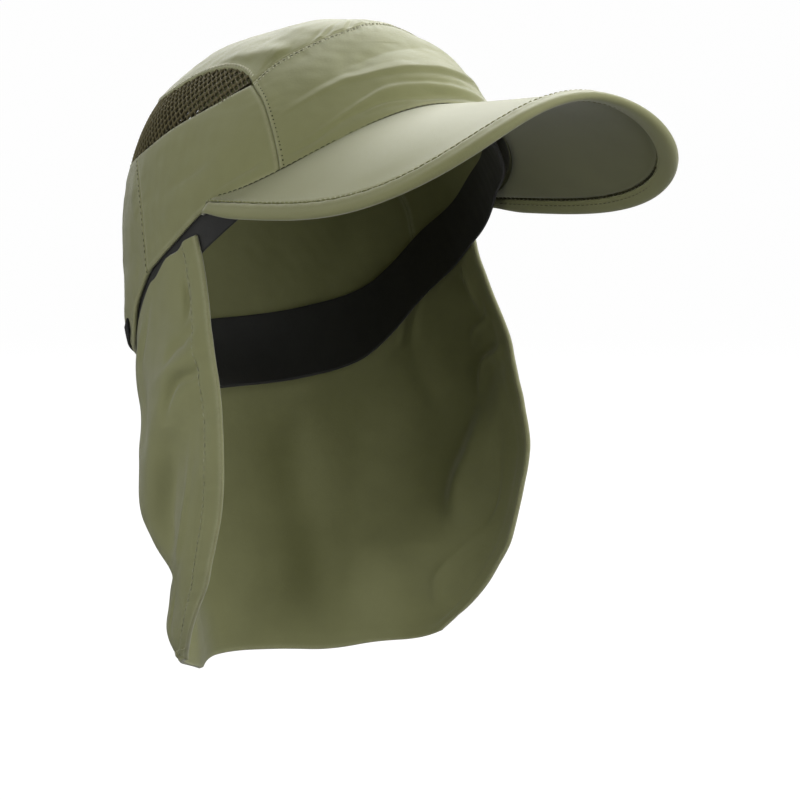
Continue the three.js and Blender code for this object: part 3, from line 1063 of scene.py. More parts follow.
@dataclass(frozen=True)
class CrownForm:
    """Rounded form that the crown's cloth lies on."""

    half_width: float = 82.0
    half_length: float = 103.4
    rise: float = 94.2
    depth: float = 94.0
    rise_power: float = 2.05
    depth_power: float = 4.5
    widest_level: float = -10.0
    top_lean: float = 18.0
    lean_power: float = 12.0
    swell: float = 2.1
    swell_az: float = 122.0
    swell_el: float = 37.0
    swell_width: float = 30.0
    swell_height: float = 17.0

    ROUNDS = 9
    STEP = 0.25
    HIGHEST = 89.4
    MM_PER_DEGREE = (1.78, 1.72)

    def lean(self, z: Array) -> Array:
        """How far the top leans forward at heights above the widest level."""
        return self.top_lean * np.maximum(0.0, z / self.rise) ** self.lean_power

    def surface(self, az: Array | float, el: Array | float) -> Array:
        """Points of the form.

        Args:
            az: Turns from the front, in degrees.
            el: Angles above the widest level, in degrees.

        Returns:
            Places in millimetres.
        """
        a, e = np.broadcast_arrays(*(np.radians(np.asarray(part, float)) for part in (az, el)))
        n = np.stack([np.cos(e) * np.sin(a), -np.cos(e) * np.cos(a), np.sin(e)], axis=-1)
        level = np.hypot(n[..., 0] / self.half_width, n[..., 1] / self.half_length)
        above = n[..., 2] > 0
        upright = np.where(above, n[..., 2] / self.rise, -n[..., 2] / self.depth)
        power = np.where(above, self.rise_power, self.depth_power)
        r = 1.0 / np.maximum(np.maximum(level, upright), NEARLY_NONE)
        for _ in range(self.ROUNDS):
            steep = (r * upright) ** power
            value = (r * level) ** 2 + steep - 1.0
            slope = 2 * r * level**2 + power * steep / r
            r = r - value / slope
        p = n * r[..., None]
        p[..., 1] -= self.lean(p[..., 2])
        p[..., 2] += self.widest_level
        off_az = (from_front(np.degrees(a)) - self.swell_az) / self.swell_width
        off_el = (np.degrees(e) - self.swell_el) / self.swell_height
        return p + n * (self.swell * np.exp(-(off_az**2) - off_el**2))[..., None]

    def normal(self, az: Array | float, el: Array | float) -> Array:
        """Outward directions of the form.

        Args:
            az: Turns from the front, in degrees.
            el: Angles above the widest level, in degrees.

        Returns:
            A direction of length one for each place.
        """
        el = np.minimum(np.asarray(el, float), self.HIGHEST)
        az = np.asarray(az, float)
        along = self.surface(az + self.STEP, el) - self.surface(az - self.STEP, el)
        rise = self.surface(az, el + self.STEP) - self.surface(az, el - self.STEP)
        return unit(np.cross(along, rise))

    def point(self, az: Array | float, el: Array | float, off: Array | float = 0.0) -> Array:
        """Points that lie off the form by a distance, outward if it is positive."""
        off = np.asarray(off, float)[..., None]
        return self.surface(az, el) + self.normal(az, el) * off

    def clearance(self, points: Array) -> Array:
        """Distance of points outside the form, measured from its middle.

        Args:
            points: Places in millimetres.

        Returns:
            Distances, negative inside the form.
        """
        middle = np.array([0.0, 0.0, self.widest_level])
        q = points - middle
        q[..., 1] += self.lean(q[..., 2])
        r = np.linalg.norm(q, axis=-1)
        az = np.degrees(np.arctan2(q[..., 0], -q[..., 1]))
        el = np.degrees(np.arcsin(q[..., 2] / r))
        s = self.surface(az, el) - middle
        s[..., 1] += self.lean(s[..., 2])
        return r - np.linalg.norm(s, axis=-1)

    def chart(self, az: Array, el: Array) -> tuple[Array, Array]:
        """Flat places of angles on the form, in millimetres across and up."""
        across, up = self.MM_PER_DEGREE
        return az * np.cos(np.radians(el)) * across, el * up

    def creased(self, creases: Sequence[CreaseLine], az: Array, el: Array) -> Array:
        """Height of creases whose places are angles.

        Args:
            creases: The creases.
            az: Turns from the front, in degrees.
            el: Elevations in degrees.

        Returns:
            Heights in millimetres.
        """
        across, up = self.chart(az, el)
        height = np.zeros(az.shape)
        for crease in creases:
            rows = []
            for turn, rise, lift in crease.places:
                x, y = self.chart(np.array(float(turn)), np.array(float(rise)))
                rows.append((float(x), float(y), lift))
            line = CreaseLine(tuple(rows), crease.left, crease.right, crease.sharpness)
            height = height + line.relief(across, up)
        return height


class SeamPlan:
    """Lines where the crown's cloth is cut and sewn."""

    RIM = (
        (0, 33.8), (12, 32.4), (27.5, 27.3), (44.5, 20.2), (63, 13.1), (77, 7.2), (89.5, -2.6),
        (105, -12.9), (117.4, -23.6), (126, -29.4), (146, -34), (180, -35.5),
    )
    TOP = (
        (0, 75.0), (4, 75.0), (8, 74.85), (15.5, 74.2), (22.5, 72.0), (28, 69.9), (37, 66.6),
        (44, 63.6), (50, 60.7), (55.5, 57.8), (59, 55.8), (62, 53.8), (65.5, 50.8), (68.8, 46.5),
    )
    VENT_LOW = (
        (68.8, 46.5), (75.6, 43.8), (83.3, 40.2), (100, 32.9), (117, 24.8), (135, 19.5),
        (180, 16.5),
    )
    VENT_HIGH = (
        (68.8, 46.5), (74.1, 49.7), (85.8, 52.5), (96.8, 52.2), (108, 49.2), (124, 40.5),
        (145, 35.5), (180, 33.5),
    )
    HEM_LIFT = (
        (66, 0), (74, 0.4), (80, 0.8), (88, 1.5), (95, 1.75), (102, 2.0), (107, 2.9), (113, 3.2),
        (117, 3.3), (120, 2.7), (123, 1.0), (127, 0.2), (134, 0),
    )
    FRONT = ((17.4, 51.5), (24, 53.2), (31.6, 56.3), (39.9, 61.4), (46.5, 68.8))
    REAR = ((-16.4, 107.4), (-10.5, 108), (-3.7, 109.3), (5.3, 111.6), (15.5, 117.7), (22, 124.4))

    def __init__(self) -> None:
        """Make a smooth curve of each line."""
        self.rim = MirroredTable(self.RIM)
        self.lift = MirroredTable(self.HEM_LIFT)
        self.top = MirroredTable(self.TOP)
        self.vent_low = MirroredTable(self.VENT_LOW)
        self.vent_high = MirroredTable(self.VENT_HIGH)
        self.front_line = SmoothTable(self.FRONT)
        self.rear_line = SmoothTable(self.REAR)
        self.front_low, self.front_high = self.FRONT[0][1], self.FRONT[-1][1]
        self.rear_low, self.rear_high = self.REAR[0][1], self.REAR[-1][1]

    def hem(self, az: Array | float) -> Array:
        """Elevation of the side and rear panels' hem, which rides a little higher than the rim."""
        return self.rim(az) + self.lift(az)

    def front(self, w: Array) -> Array:
        """Turn of the front upright seam at a share of its height."""
        return self.front_line(lerp(self.rim(self.front_low), self.top(self.front_high), w))

    def rear(self, w: Array) -> Array:
        """Turn of the rear upright seam at a share of its height."""
        return self.rear_line(lerp(self.rim(self.rear_low), self.vent_low(self.rear_high), w))


@dataclass
class CrownPanel:
    """One sewn panel of the crown. A panel kind gives its place and its folds."""

    form: CrownForm
    seams: SeamPlan
    across_mm: float = 100.0
    up_mm: float = 60.0
    step_across: float = 0.8
    step_up: float = 0.8
    thickness: float = 2.0
    gap: float = 0.05
    unevenness: float = 0.28
    seed: int = 1
    left: EdgeProfile = FREE
    right: EdgeProfile = FREE
    low: EdgeProfile = FREE
    high: EdgeProfile = FREE
    low_fade: float = 9.0
    grid: ClothGrid | None = None

    CREASES = ()
    FADE = 9.0
    LOW_START = -0.1
    NOISE = ((0, 26.0, 1.0), (50, 9.0, 0.3))
    INNER_SHARE = 0.9
    WEAR = EdgeBand(1.1, 0.7)

    def place(self, u: Array, w: Array) -> tuple[Array, Array]:
        """Turn and elevation at shares across and up the panel."""
        raise NotImplementedError

    def folds(self, az: Array, el: Array) -> Array:
        """Height of the panel's folds, in millimetres."""
        return self.form.creased(self.CREASES, az, el)

    def build(self) -> MeshDraft:
        """Make the panel's mesh, and keep the grid of its shown side.

        Returns:
            The mesh.
        """
        shares = knots(self.across_mm, self.step_across), knots(self.up_mm, self.step_up)
        az, el = self.place(*np.meshgrid(*shares))
        turn = self.gap / np.cos(np.radians(el))
        az[:, 0] += turn[:, 0]
        az[:, -1] -= turn[:, -1]
        el[0] += self.gap
        el[-1] -= self.gap
        base = self.form.surface(az, el)
        plan = ClothGrid.measured(base)
        inside = np.minimum(np.minimum(plan.left, plan.right), np.minimum(plan.low, plan.high))
        fade = smoothstep(inside, 0.0, self.FADE)
        ends = np.minimum(np.minimum(plan.left, plan.right), plan.high)
        soft = self.folds(az, el) * smoothstep(ends, 0.0, self.FADE)
        soft = soft * smoothstep(plan.low, self.LOW_START, self.low_fade)
        for more, size, height in self.NOISE:
            noise = SoftNoise(self.seed + more, size)(base)
            soft = soft + noise * self.unevenness * height * fade
        edges = (
            self.left.relief(plan.left, plan.low)
            + self.right.relief(plan.right, plan.low)
            + self.low.relief(plan.low, plan.left)
            + self.high.relief(plan.high, plan.left)
        )
        outer = self.form.point(az, el, soft + edges)
        inner = self.form.point(az, el, soft * self.INNER_SHARE - self.thickness)
        self.grid = plan.moved(outer)
        draft = MeshDraft()
        cloth_body(draft, outer, inner, plan.cloth(), self.WEAR.share(inside))
        return draft


@dataclass
class FrontPanel(CrownPanel):
    """Front panel, with soft folds where it meets the peak."""

    CREASES = (
        CreaseLine(((4, 58, 0.3), (18, 57, 1.2), (31, 54, 2.0), (42, 50, 1.5), (52, 46, 0.3)),
                   15.0, 9.0),
        CreaseLine(
            ((-27, 32.3, 0.1), (-22, 34.1, 0.5), (-18, 35.0, 0.6), (-13, 35.3, 0.6),
             (-8, 35.6, 0.1)), 0.9, 0.9,
        ),
    )
    FOLDS = FoldLoft((
        ((-60, 10, 0), (-46, 18, 0), (-33, 25.2, 0), (-22, 29.2, 0.2), (-10, 32.6, 0.4),
         (0, 33.7, 0.4), (20, 31, 0), (60, 10, 0)),
        ((-60, 18.5, 0), (-45.8, 22.3, 0.2), (-37.3, 26.5, 0.3), (-28.5, 30, 0.3),
         (-22.5, 31.3, 0.3), (-16.5, 32.3, 0.3),
         (-10, 33.3, 0.4), (-2.8, 33.8, 0.4), (5.5, 34, 0.3), (22, 32.8, 0.1), (60, 18.5, 0)),
        ((-60, 19.2, 0), (-52, 21.2, -0.2), (-46, 24, -0.4), (-41.3, 26, -0.7),
         (-37.3, 28.8, -0.9), (-32.8, 31.5, -1.1), (-28, 33.3, -1.3), (-21.8, 35, -1.7),
         (-15, 35.8, -2.0), (-7.8, 36.3, -2.1), (0.3, 36.8, -2.1), (9.3, 36.5, -1.6),
         (22, 35, -0.6), (34, 31, 0), (60, 19.2, 0)),
        ((-60, 20.5, 0), (-52, 22.6, 0.1), (-45.8, 25.3, 0.2), (-41.3, 27.5, 0.4),
         (-37, 29.8, 0.6), (-32.5, 32.3, 1.0), (-27.8, 34.8, 1.4), (-21.3, 37.8, 1.8),
         (-14.5, 39, 2.0), (-7.5, 39.3, 2.0), (0, 39, 1.9), (9.3, 38.5, 1.4),
         (22, 37, 0.6), (34, 33, 0), (60, 20.5, 0)),
        ((-60, 22.5, 0), (-46, 26.5, 0), (-41.3, 28.8, 0.1), (-37, 31, 0.2), (-32.5, 34, 0.3),
         (-27.8, 36.3, 0.4), (-20.5, 39.6, 0.7), (-13.3, 40.7, 1.0), (-6.3, 40.7, 1.1),
         (2, 40.4, 1.0), (12.3, 39.9, 0.7), (24, 38.2, 0.3),
         (36, 35, 0), (60, 22.5, 0)),
        ((-60, 25, 0), (-46.3, 29.8, 0), (-41.3, 32.3, 0), (-37, 34.8, 0.1), (-32, 37.8, 0.3),
         (-27.3, 39.3, 0.5), (-20, 41.5, 1.2), (-13, 42.0, 1.6), (-6, 41.8, 1.8),
         (2.3, 41.5, 1.7), (12.8, 41.1, 1.2), (24, 39.6, 0.4), (38, 36.5, 0),
         (60, 25, 0)),
        ((-60, 30, 0), (-46.8, 36.5, 0), (-41.5, 38.8, 0.1), (-36.8, 40.3, 0.3), (-31.8, 42, 0.6),
         (-26.5, 42.5, 0.8), (-19.5, 43.3, 1.1), (-12, 43.8, 1.3), (-4.5, 43.8, 1.4),
         (4.5, 43.5, 1.2), (15.5, 42.8, 0.7), (28.3, 41.4, 0.1),
         (42, 38, 0), (60, 30, 0)),
        ((-60, 31.5, 0), (-46.8, 37.6, 0.4), (-41.5, 39.7, 0.8), (-36.8, 41.3, 1.2),
         (-31.5, 43.1, 1.6), (-26.5, 43.7, 1.9), (-19.3, 44.5, 2.5), (-12, 45.0, 3.0),
         (-4.3, 45.0, 3.2), (4.3, 44.6, 3.1), (16.3, 43.9, 2.6), (30, 42.5, 1.4),
         (44, 39, 0), (60, 31.5, 0)),
        ((-60, 34, 0), (-47, 39.6, -0.1), (-41.8, 42, -0.1), (-36.8, 44, 0), (-31.3, 45.7, 0.3),
         (-25.8, 46.5, 0.7), (-18.3, 47.6, 1.2), (-10, 48.3, 1.6), (-1, 48.4, 1.8),
         (9.3, 48, 1.7), (22, 47, 1.2),
         (34, 45, 0.5), (48, 41, 0), (60, 34, 0)),
        ((-60, 38, 0), (-50, 43, 0), (-36.8, 46.8, 0), (-24.8, 50, 0), (-15.8, 52.5, 0),
         (-4.8, 54.5, 0), (8.8, 55.5, 0),
         (24, 53, 0), (36, 49.5, 0), (50, 44, 0), (60, 38, 0)),
    ))

    def place(self, u: Array, w: Array) -> tuple[Array, Array]:
        """Find places between the two front seams.

        Args:
            u: Shares across the panel.
            w: Shares up the panel.

        Returns:
            Turns and elevations.
        """
        s = 2 * u - 1
        low = self.seams.rim(s * self.seams.front_low)
        high = self.seams.top(s * self.seams.front_high)
        return s * self.seams.front(w), lerp(low, high, w)

    def folds(self, az: Array, el: Array) -> Array:
        """Height of the panel's folds, in millimetres."""
        return super().folds(az, el) + self.FOLDS.relief(az, el)


class Side(Enum):
    """Side of the wearer."""

    LEFT = 1
    RIGHT = -1


@dataclass
class SidePanel(CrownPanel):
    """Side panel between the front panel and the rear panel."""

    side: Side = Side.RIGHT

    CREASES = (
        CreaseLine(
            ((78, 11.2, -0.2), (74.4, 12.8, -0.9), (70.8, 14.7, -1.2), (66.4, 17, -1.2),
             (61.2, 19.4, -1.0),
             (57.6, 21, -0.3)), 1.8, 3.0, 1.6,
        ),
        CreaseLine(
            ((98, 12.4, -0.1), (90, 16.2, -0.5), (82.8, 19.4, -0.6), (77, 22.2, -0.2)), 2.2, 3.2,
        ),
        CreaseLine(((92, 6, 0.2), (82, 15, 0.6), (70, 26, 0.6), (64, 32, 0.1)), 9.0, 9.0),
    )

    def place(self, u: Array, w: Array) -> tuple[Array, Array]:
        """Find places between the front seam and the rear seam of one side.

        Args:
            u: Shares across the panel.
            w: Shares up the panel.

        Returns:
            Turns and elevations.
        """
        s = u if self.side is Side.LEFT else 1 - u
        low = self.seams.hem(lerp(self.seams.front_low, self.seams.rear_low, s))
        high = self.seams.vent_low(lerp(self.seams.front_high, self.seams.rear_high, s))
        az = self.side.value * lerp(self.seams.front(w), self.seams.rear(w), s)
        return az, lerp(low, high, w)

    def folds(self, az: Array, el: Array) -> Array:
        """Height of the panel's folds, in millimetres."""
        return super().folds(np.abs(az), el)


@dataclass
class RearPanel(CrownPanel):
    """Rear panel from one rear seam round the back to the other."""

    def place(self, u: Array, w: Array) -> tuple[Array, Array]:
        """Find places round the back, between the two rear seams.

        Args:
            u: Shares across the panel.
            w: Shares up the panel.

        Returns:
            Turns and elevations.
        """
        s = 2 * u - 1
        low = self.seams.hem(180 + s * (180 - self.seams.rear_low))
        high = self.seams.vent_low(180 + s * (180 - self.seams.rear_high))
        return 180 + s * (180 - self.seams.rear(w)), lerp(low, high, w)


@dataclass
class TopPanel:
    """Domed top panel, from the front seam and the vent's upper edge to the middle."""

    form: CrownForm
    seams: SeamPlan
    columns: int = 300
    rows: int = 66
    thickness: float = 2.0
    gap: float = 0.05
    length: float = 70.0
    highest: float = 89.3
    hub_lift: float = 0.02
    front_edge: EdgeProfile = EdgeProfile(
        drop=0.8, drop_width=0.6, rows=(1.3,), row_dent=0.2,
        pucker=0.36, pucker_pitch=11.0, pucker_reach=9.0,
    )
    vent_edge: EdgeProfile = EdgeProfile(
        drop=1.1, drop_width=0.6, rise=0.14, rise_width=3.7, pucker=0.05
    )
    grid: ClothGrid | None = None

    LAST_SHARE = 0.985
    BLEND = (-3.0, 1.0)
    HUB_FADE = (2.0, 17.0)
    NOISE_FADE = (2.0, 12.0)
    CREASE_FADE = (1.0, 8.0)
    NOISE = ((31, 30.0, 0.5), (81, 10.0, 0.1))
    WEAR = EdgeBand(1.0, 0.8)

    CREASES = (
        CreaseLine(
            ((-98, 56, 0.3), (-90, 57, 1.0), (-82.5, 58.3, 1.6), (-73, 58.6, 1.7),
             (-65, 58.4, 1.5), (-58, 60, 0.4)),
            9.0, 5.5, 1.7,
        ),
    )

    def build(self) -> MeshDraft:
        """Make the panel's mesh, and keep the grid of its shown side.

        Returns:
            The mesh.
        """
        start = self.seams.front_high
        az = np.linspace(-180, 180, self.columns, endpoint=False)
        front = from_front(az) <= start
        low = np.where(front, self.seams.top(az), self.seams.vent_high(az)) + self.gap
        share = knots(self.length, self.length / self.rows)
        share = share[share < self.LAST_SHARE]
        share = share / share[-1]
        el = lerp(low[None, :], self.highest, share[:, None])
        turn = np.broadcast_to(az[None, :], el.shape)
        base = self.form.surface(turn, el)
        plan = ClothGrid.measured(base)
        along = ClothGrid.measured(np.concatenate([base, base[:, :1]], axis=1)).left[0, :-1]
        blend = smoothstep(from_front(turn), start + self.BLEND[0], start + self.BLEND[1])
        run = np.broadcast_to(along[None, :], el.shape)
        kinds = [edge.relief(plan.low, run) for edge in (self.front_edge, self.vent_edge)]
        edges = lerp(*kinds, blend) * smoothstep(plan.high, *self.HUB_FADE)
        fade = smoothstep(plan.low, *self.NOISE_FADE)
        soft = sum(SoftNoise(seed, size)(base) * height * fade for seed, size, height in self.NOISE)
        creases = self.form.creased(self.CREASES, turn, el)
        soft = soft + creases * smoothstep(plan.low, *self.CREASE_FADE)
        outer = self.form.point(turn, el, edges + soft)
        inner = self.form.point(turn, el, soft - self.thickness)
        cloth = base[..., :2]
        draft = MeshDraft()
        cloth_body(draft, outer, inner, cloth, self.WEAR.share(plan.low), ring=True)
        for grid, first, order in ((outer, 0, 1), (inner, outer[..., 0].size, -1)):
            middle = grid[-1].mean(axis=0) + np.array([0.0, 0.0, self.hub_lift])
            hub = draft.add_points(middle, cloth[-1].mean(axis=0))
            edge = np.arange(self.columns) + first + (len(share) - 1) * self.columns
            spokes = np.stack([edge, np.roll(edge, -1), np.full(self.columns, hub)], axis=-1)
            draft.add_faces(spokes[:, ::order])
        self.grid = plan.moved(outer)
        return draft


@dataclass
class VentBand:
    """Open net between the side and rear panels and the top panel, with real holes."""

    form: CrownForm
    seams: SeamPlan
    depth: float = 1.2
    overlap: float = 1.6
    seat: float = -0.15
    reach_up: float = 18.0
    knob: float = 0.15
    saddle: float = -0.05
    hole_drop: float = 0.3
    hole_share: float = 0.8

    SAMPLES = 900
    PAST_END = 0.5
    MM_PER_DEGREE = 1.66
    EDGE_MM_PER_DEGREE = 1.7
    # Painted light on the cord tops and, weaker, on the hole rims; hole walls and the underside
    # stay dark as painted shade.
    CORD_PAINTED_LIGHT = 1.4
    HOLE_RIM_PAINTED_LIGHT = 0.25
    CELL = ((1.5, -3.5), (1.5, 4.3))
    HOLE = ((1.08, -0.43), (-0.57, 1.56))
    RING = ((0, 0), (1, 0), (2, 0), (2, 1), (2, 2), (1, 2), (0, 2), (0, 1))

    def hole_corner(self, da: int, db: int) -> Array:
        """Find the corner of the hole that lies beside a point of its cell's rim.

        Args:
            da: Half cells along to the rim's point, 0 to 2.
            db: Half cells up to the rim's point, 0 to 2.

        Returns:
            The corner's place in the cell, counted in cells.
        """
        cell, hole = np.array(self.CELL), np.array(self.HOLE)
        way = np.linalg.solve(hole, cell @ np.array([da - 1.0, db - 1.0]))
        return 0.5 + np.linalg.solve(cell, hole @ (way / np.hypot(*way)))

    def midline(self) -> tuple[Array, Array, Array]:
        """Follow the middle of the net round the back.

        Returns:
            Fine turns, their distances along and their elevations.
        """
        start = self.seams.front_high - self.PAST_END
        az = np.linspace(start, 360 - start, self.SAMPLES)
        el = (self.seams.vent_low(az) + self.seams.vent_high(az)) / 2
        steps = np.linalg.norm(np.diff(self.form.surface(az, el), axis=0), axis=1)
        return az, running(steps), el

    def locate(self, along: Array, up: Array) -> tuple[Array, Array]:
        """Turns and elevations of places in millimetres along the net and up from its middle."""
        az, distance, el = self.midline()
        return (
            np.interp(along, distance, az),
            np.interp(along, distance, el) + up / self.MM_PER_DEGREE,
        )

    def build(self) -> MeshDraft:
        """Make the net's mesh.

        Returns:
            The mesh.
        """
        length = self.midline()[1][-1]
        cell = np.array(self.CELL)
        corners = [[0, 0, length, length], [-self.reach_up, self.reach_up] * 2]
        counted = np.linalg.solve(cell, np.array(corners, float))
        first = np.floor(counted.min(axis=1))
        count = np.ceil(counted.max(axis=1) - first).astype(int)
        i, j = np.meshgrid(np.arange(count[0]), np.arange(count[1]), indexing="ij")

        def at(a: Array, b: Array) -> tuple[Array, Array]:
            """Millimetres along and up the net of places counted in cells."""
            along, up = np.tensordot(cell, np.stack([a + first[0], b + first[1]]), axes=1)
            return along, up

        centre = at(i + 0.5, j + 0.5)
        centre_az, centre_el = self.locate(*centre)
        edge = self.overlap / self.EDGE_MM_PER_DEGREE
        low = self.seams.vent_low(centre_az) - edge
        high = self.seams.vent_high(centre_az) + edge
        kept = (centre_el > low) & (centre_el < high) & (centre[0] > 0) & (centre[0] < length)
        ci, cj = i[kept], j[kept]
        draft = MeshDraft()
        a, b = np.meshgrid(np.arange(2 * count[0] + 1), np.arange(2 * count[1] + 1), indexing="ij")
        az, el = self.locate(*at(a / 2, b / 2))
        used = np.zeros(a.shape, bool)
        for da, db in self.RING:
            used[2 * ci + da, 2 * cj + db] = True
        index = np.cumsum(used.reshape(-1)).reshape(a.shape) - 1
        flat = np.stack(at(a[used] / 2, b[used] / 2), axis=-1)
        swell = np.where(((a + b) % 2 == 0)[used], self.knob, self.saddle)
        upper = self.form.point(az[used], el[used], self.seat + swell)
        lower = self.form.point(az[used], el[used], self.seat - self.depth)
        # Cord tops get painted light; the underside gets none and stays dark, painted shade.
        top = draft.add_points(upper, flat, np.full(len(flat), self.CORD_PAINTED_LIGHT))
        under = draft.add_points(lower, flat)
        order = np.arange(len(ci))
        # Hole rims get a little painted light; hole walls and undersides stay dark, painted shade.
        wear_and_painted_light = np.full(len(ci), self.HOLE_RIM_PAINTED_LIGHT)
        tops, unders = [], []
        for da, db in self.RING:
            du, dv = self.hole_corner(da, db)
            place = at(ci + du, cj + dv)
            hole, flat = self.locate(*place), np.stack(place, axis=-1)
            upper = self.form.point(*hole, self.seat - self.hole_drop)
            lower = self.form.point(*hole, self.seat - self.depth * self.hole_share)
            tops.append(draft.add_points(upper, flat, wear_and_painted_light) + order)
            unders.append(draft.add_points(lower, flat) + order)
        for k, (da, db) in enumerate(self.RING):
            m = (k + 1) % len(self.RING)
            ea, eb = self.RING[m]
            p = index[2 * ci + da, 2 * cj + db]
            q = index[2 * ci + ea, 2 * cj + eb]
            draft.add_faces(np.stack([p + top, q + top, tops[m], tops[k]], axis=-1))
            draft.add_faces(np.stack([q + under, p + under, unders[k], unders[m]], axis=-1))
            draft.add_faces(np.stack([tops[k], tops[m], unders[m], unders[k]], axis=-1))
        return draft


@dataclass
class Sweatband:
    """Dark band inside the crown's lower edge; its near-black colour is partly its own cloth,
    partly painted shade of the gap under the hem.
    """

    form: CrownForm
    seams: SeamPlan
    columns: int = 260
    rows: int = 26
    clearance: float = 0.55
    front_setback: float = 3.2
    thickness: float = 1.6
    rise: float = 11.0
    drop_front: float = 3.0
    drop_side: float = 10.0
    panel_thickness: float = 2.0
    height: float = 34.0
    rib_height: float = 0.12
    rib_length: float = 1.1
    bulge: float = 0.4

    BACK = (55.0, 78.0)
    RIB_FADE = (2.0, 4.0)

    def build(self) -> MeshDraft:
        """Make the band's mesh.

        Returns:
            The mesh.
        """
        az = np.linspace(0, 360, self.columns, endpoint=False)[None, :]
        share = knots(self.height, self.height / self.rows)[:, None]
        back = smoothstep(from_front(az), *self.BACK)
        drop = lerp(self.drop_front, self.drop_side, back)
        near = -self.panel_thickness - self.clearance - self.front_setback * (1 - back)
        el = lerp(self.seams.rim(az) - drop, self.seams.rim(az) + self.rise, share)
        az = np.broadcast_to(az, el.shape)
        near = np.broadcast_to(near, el.shape)
        base = self.form.surface(az, el)
        plan = ClothGrid.measured(base)
        fade = smoothstep(np.minimum(plan.low, plan.high), *self.RIB_FADE)
        ribs = self.rib_height * np.sin(plan.left / self.rib_length) * fade
        outer = self.form.point(az, el, near)
        inner = self.form.point(az, el, near - self.thickness + ribs)
        draft = MeshDraft()
        cloth_body(draft, outer, inner, plan.cloth(), ring=True, bulge=self.bulge)
        return draft


@dataclass
class RearStrap:
    """Webbing strap that stands off the rear panel and bridges the back."""

    form: CrownForm
    seams: SeamPlan
    columns: int = 150
    rows: int = 29
    clearance: float = 0.3
    thickness: float = 0.9
    start_az: float = 127.5
    opening: float = 28.0
    low: float = 2.4
    end_high: float = 5.8
    high: float = 9.5
    ribs: int = 7
    rib_height: float = 0.16
    bulge: float = 0.35

    def build(self) -> MeshDraft:
        """Make the strap's mesh.

        Returns:
            The mesh.
        """
        share = np.linspace(0, 1, self.rows)[:, None]
        az = np.linspace(self.start_az, 360 - self.start_az, self.columns)[None, :]
        opened = smoothstep(from_front(az), self.start_az, self.start_az + self.opening)
        high = lerp(self.end_high, self.high, opened)
        el = self.seams.rim(az) + lerp(self.low, high, share)
        az = np.broadcast_to(az, el.shape)
        rib = self.rib_height * np.abs(np.sin(np.pi * self.ribs * share))
        outer = self.form.point(az, el, self.clearance + self.thickness + rib)
        inner = self.form.point(az, el, self.clearance)
        draft = MeshDraft()
        cloth_body(draft, outer, inner, ClothGrid.measured(outer).cloth(), bulge=self.bulge)
        return draft


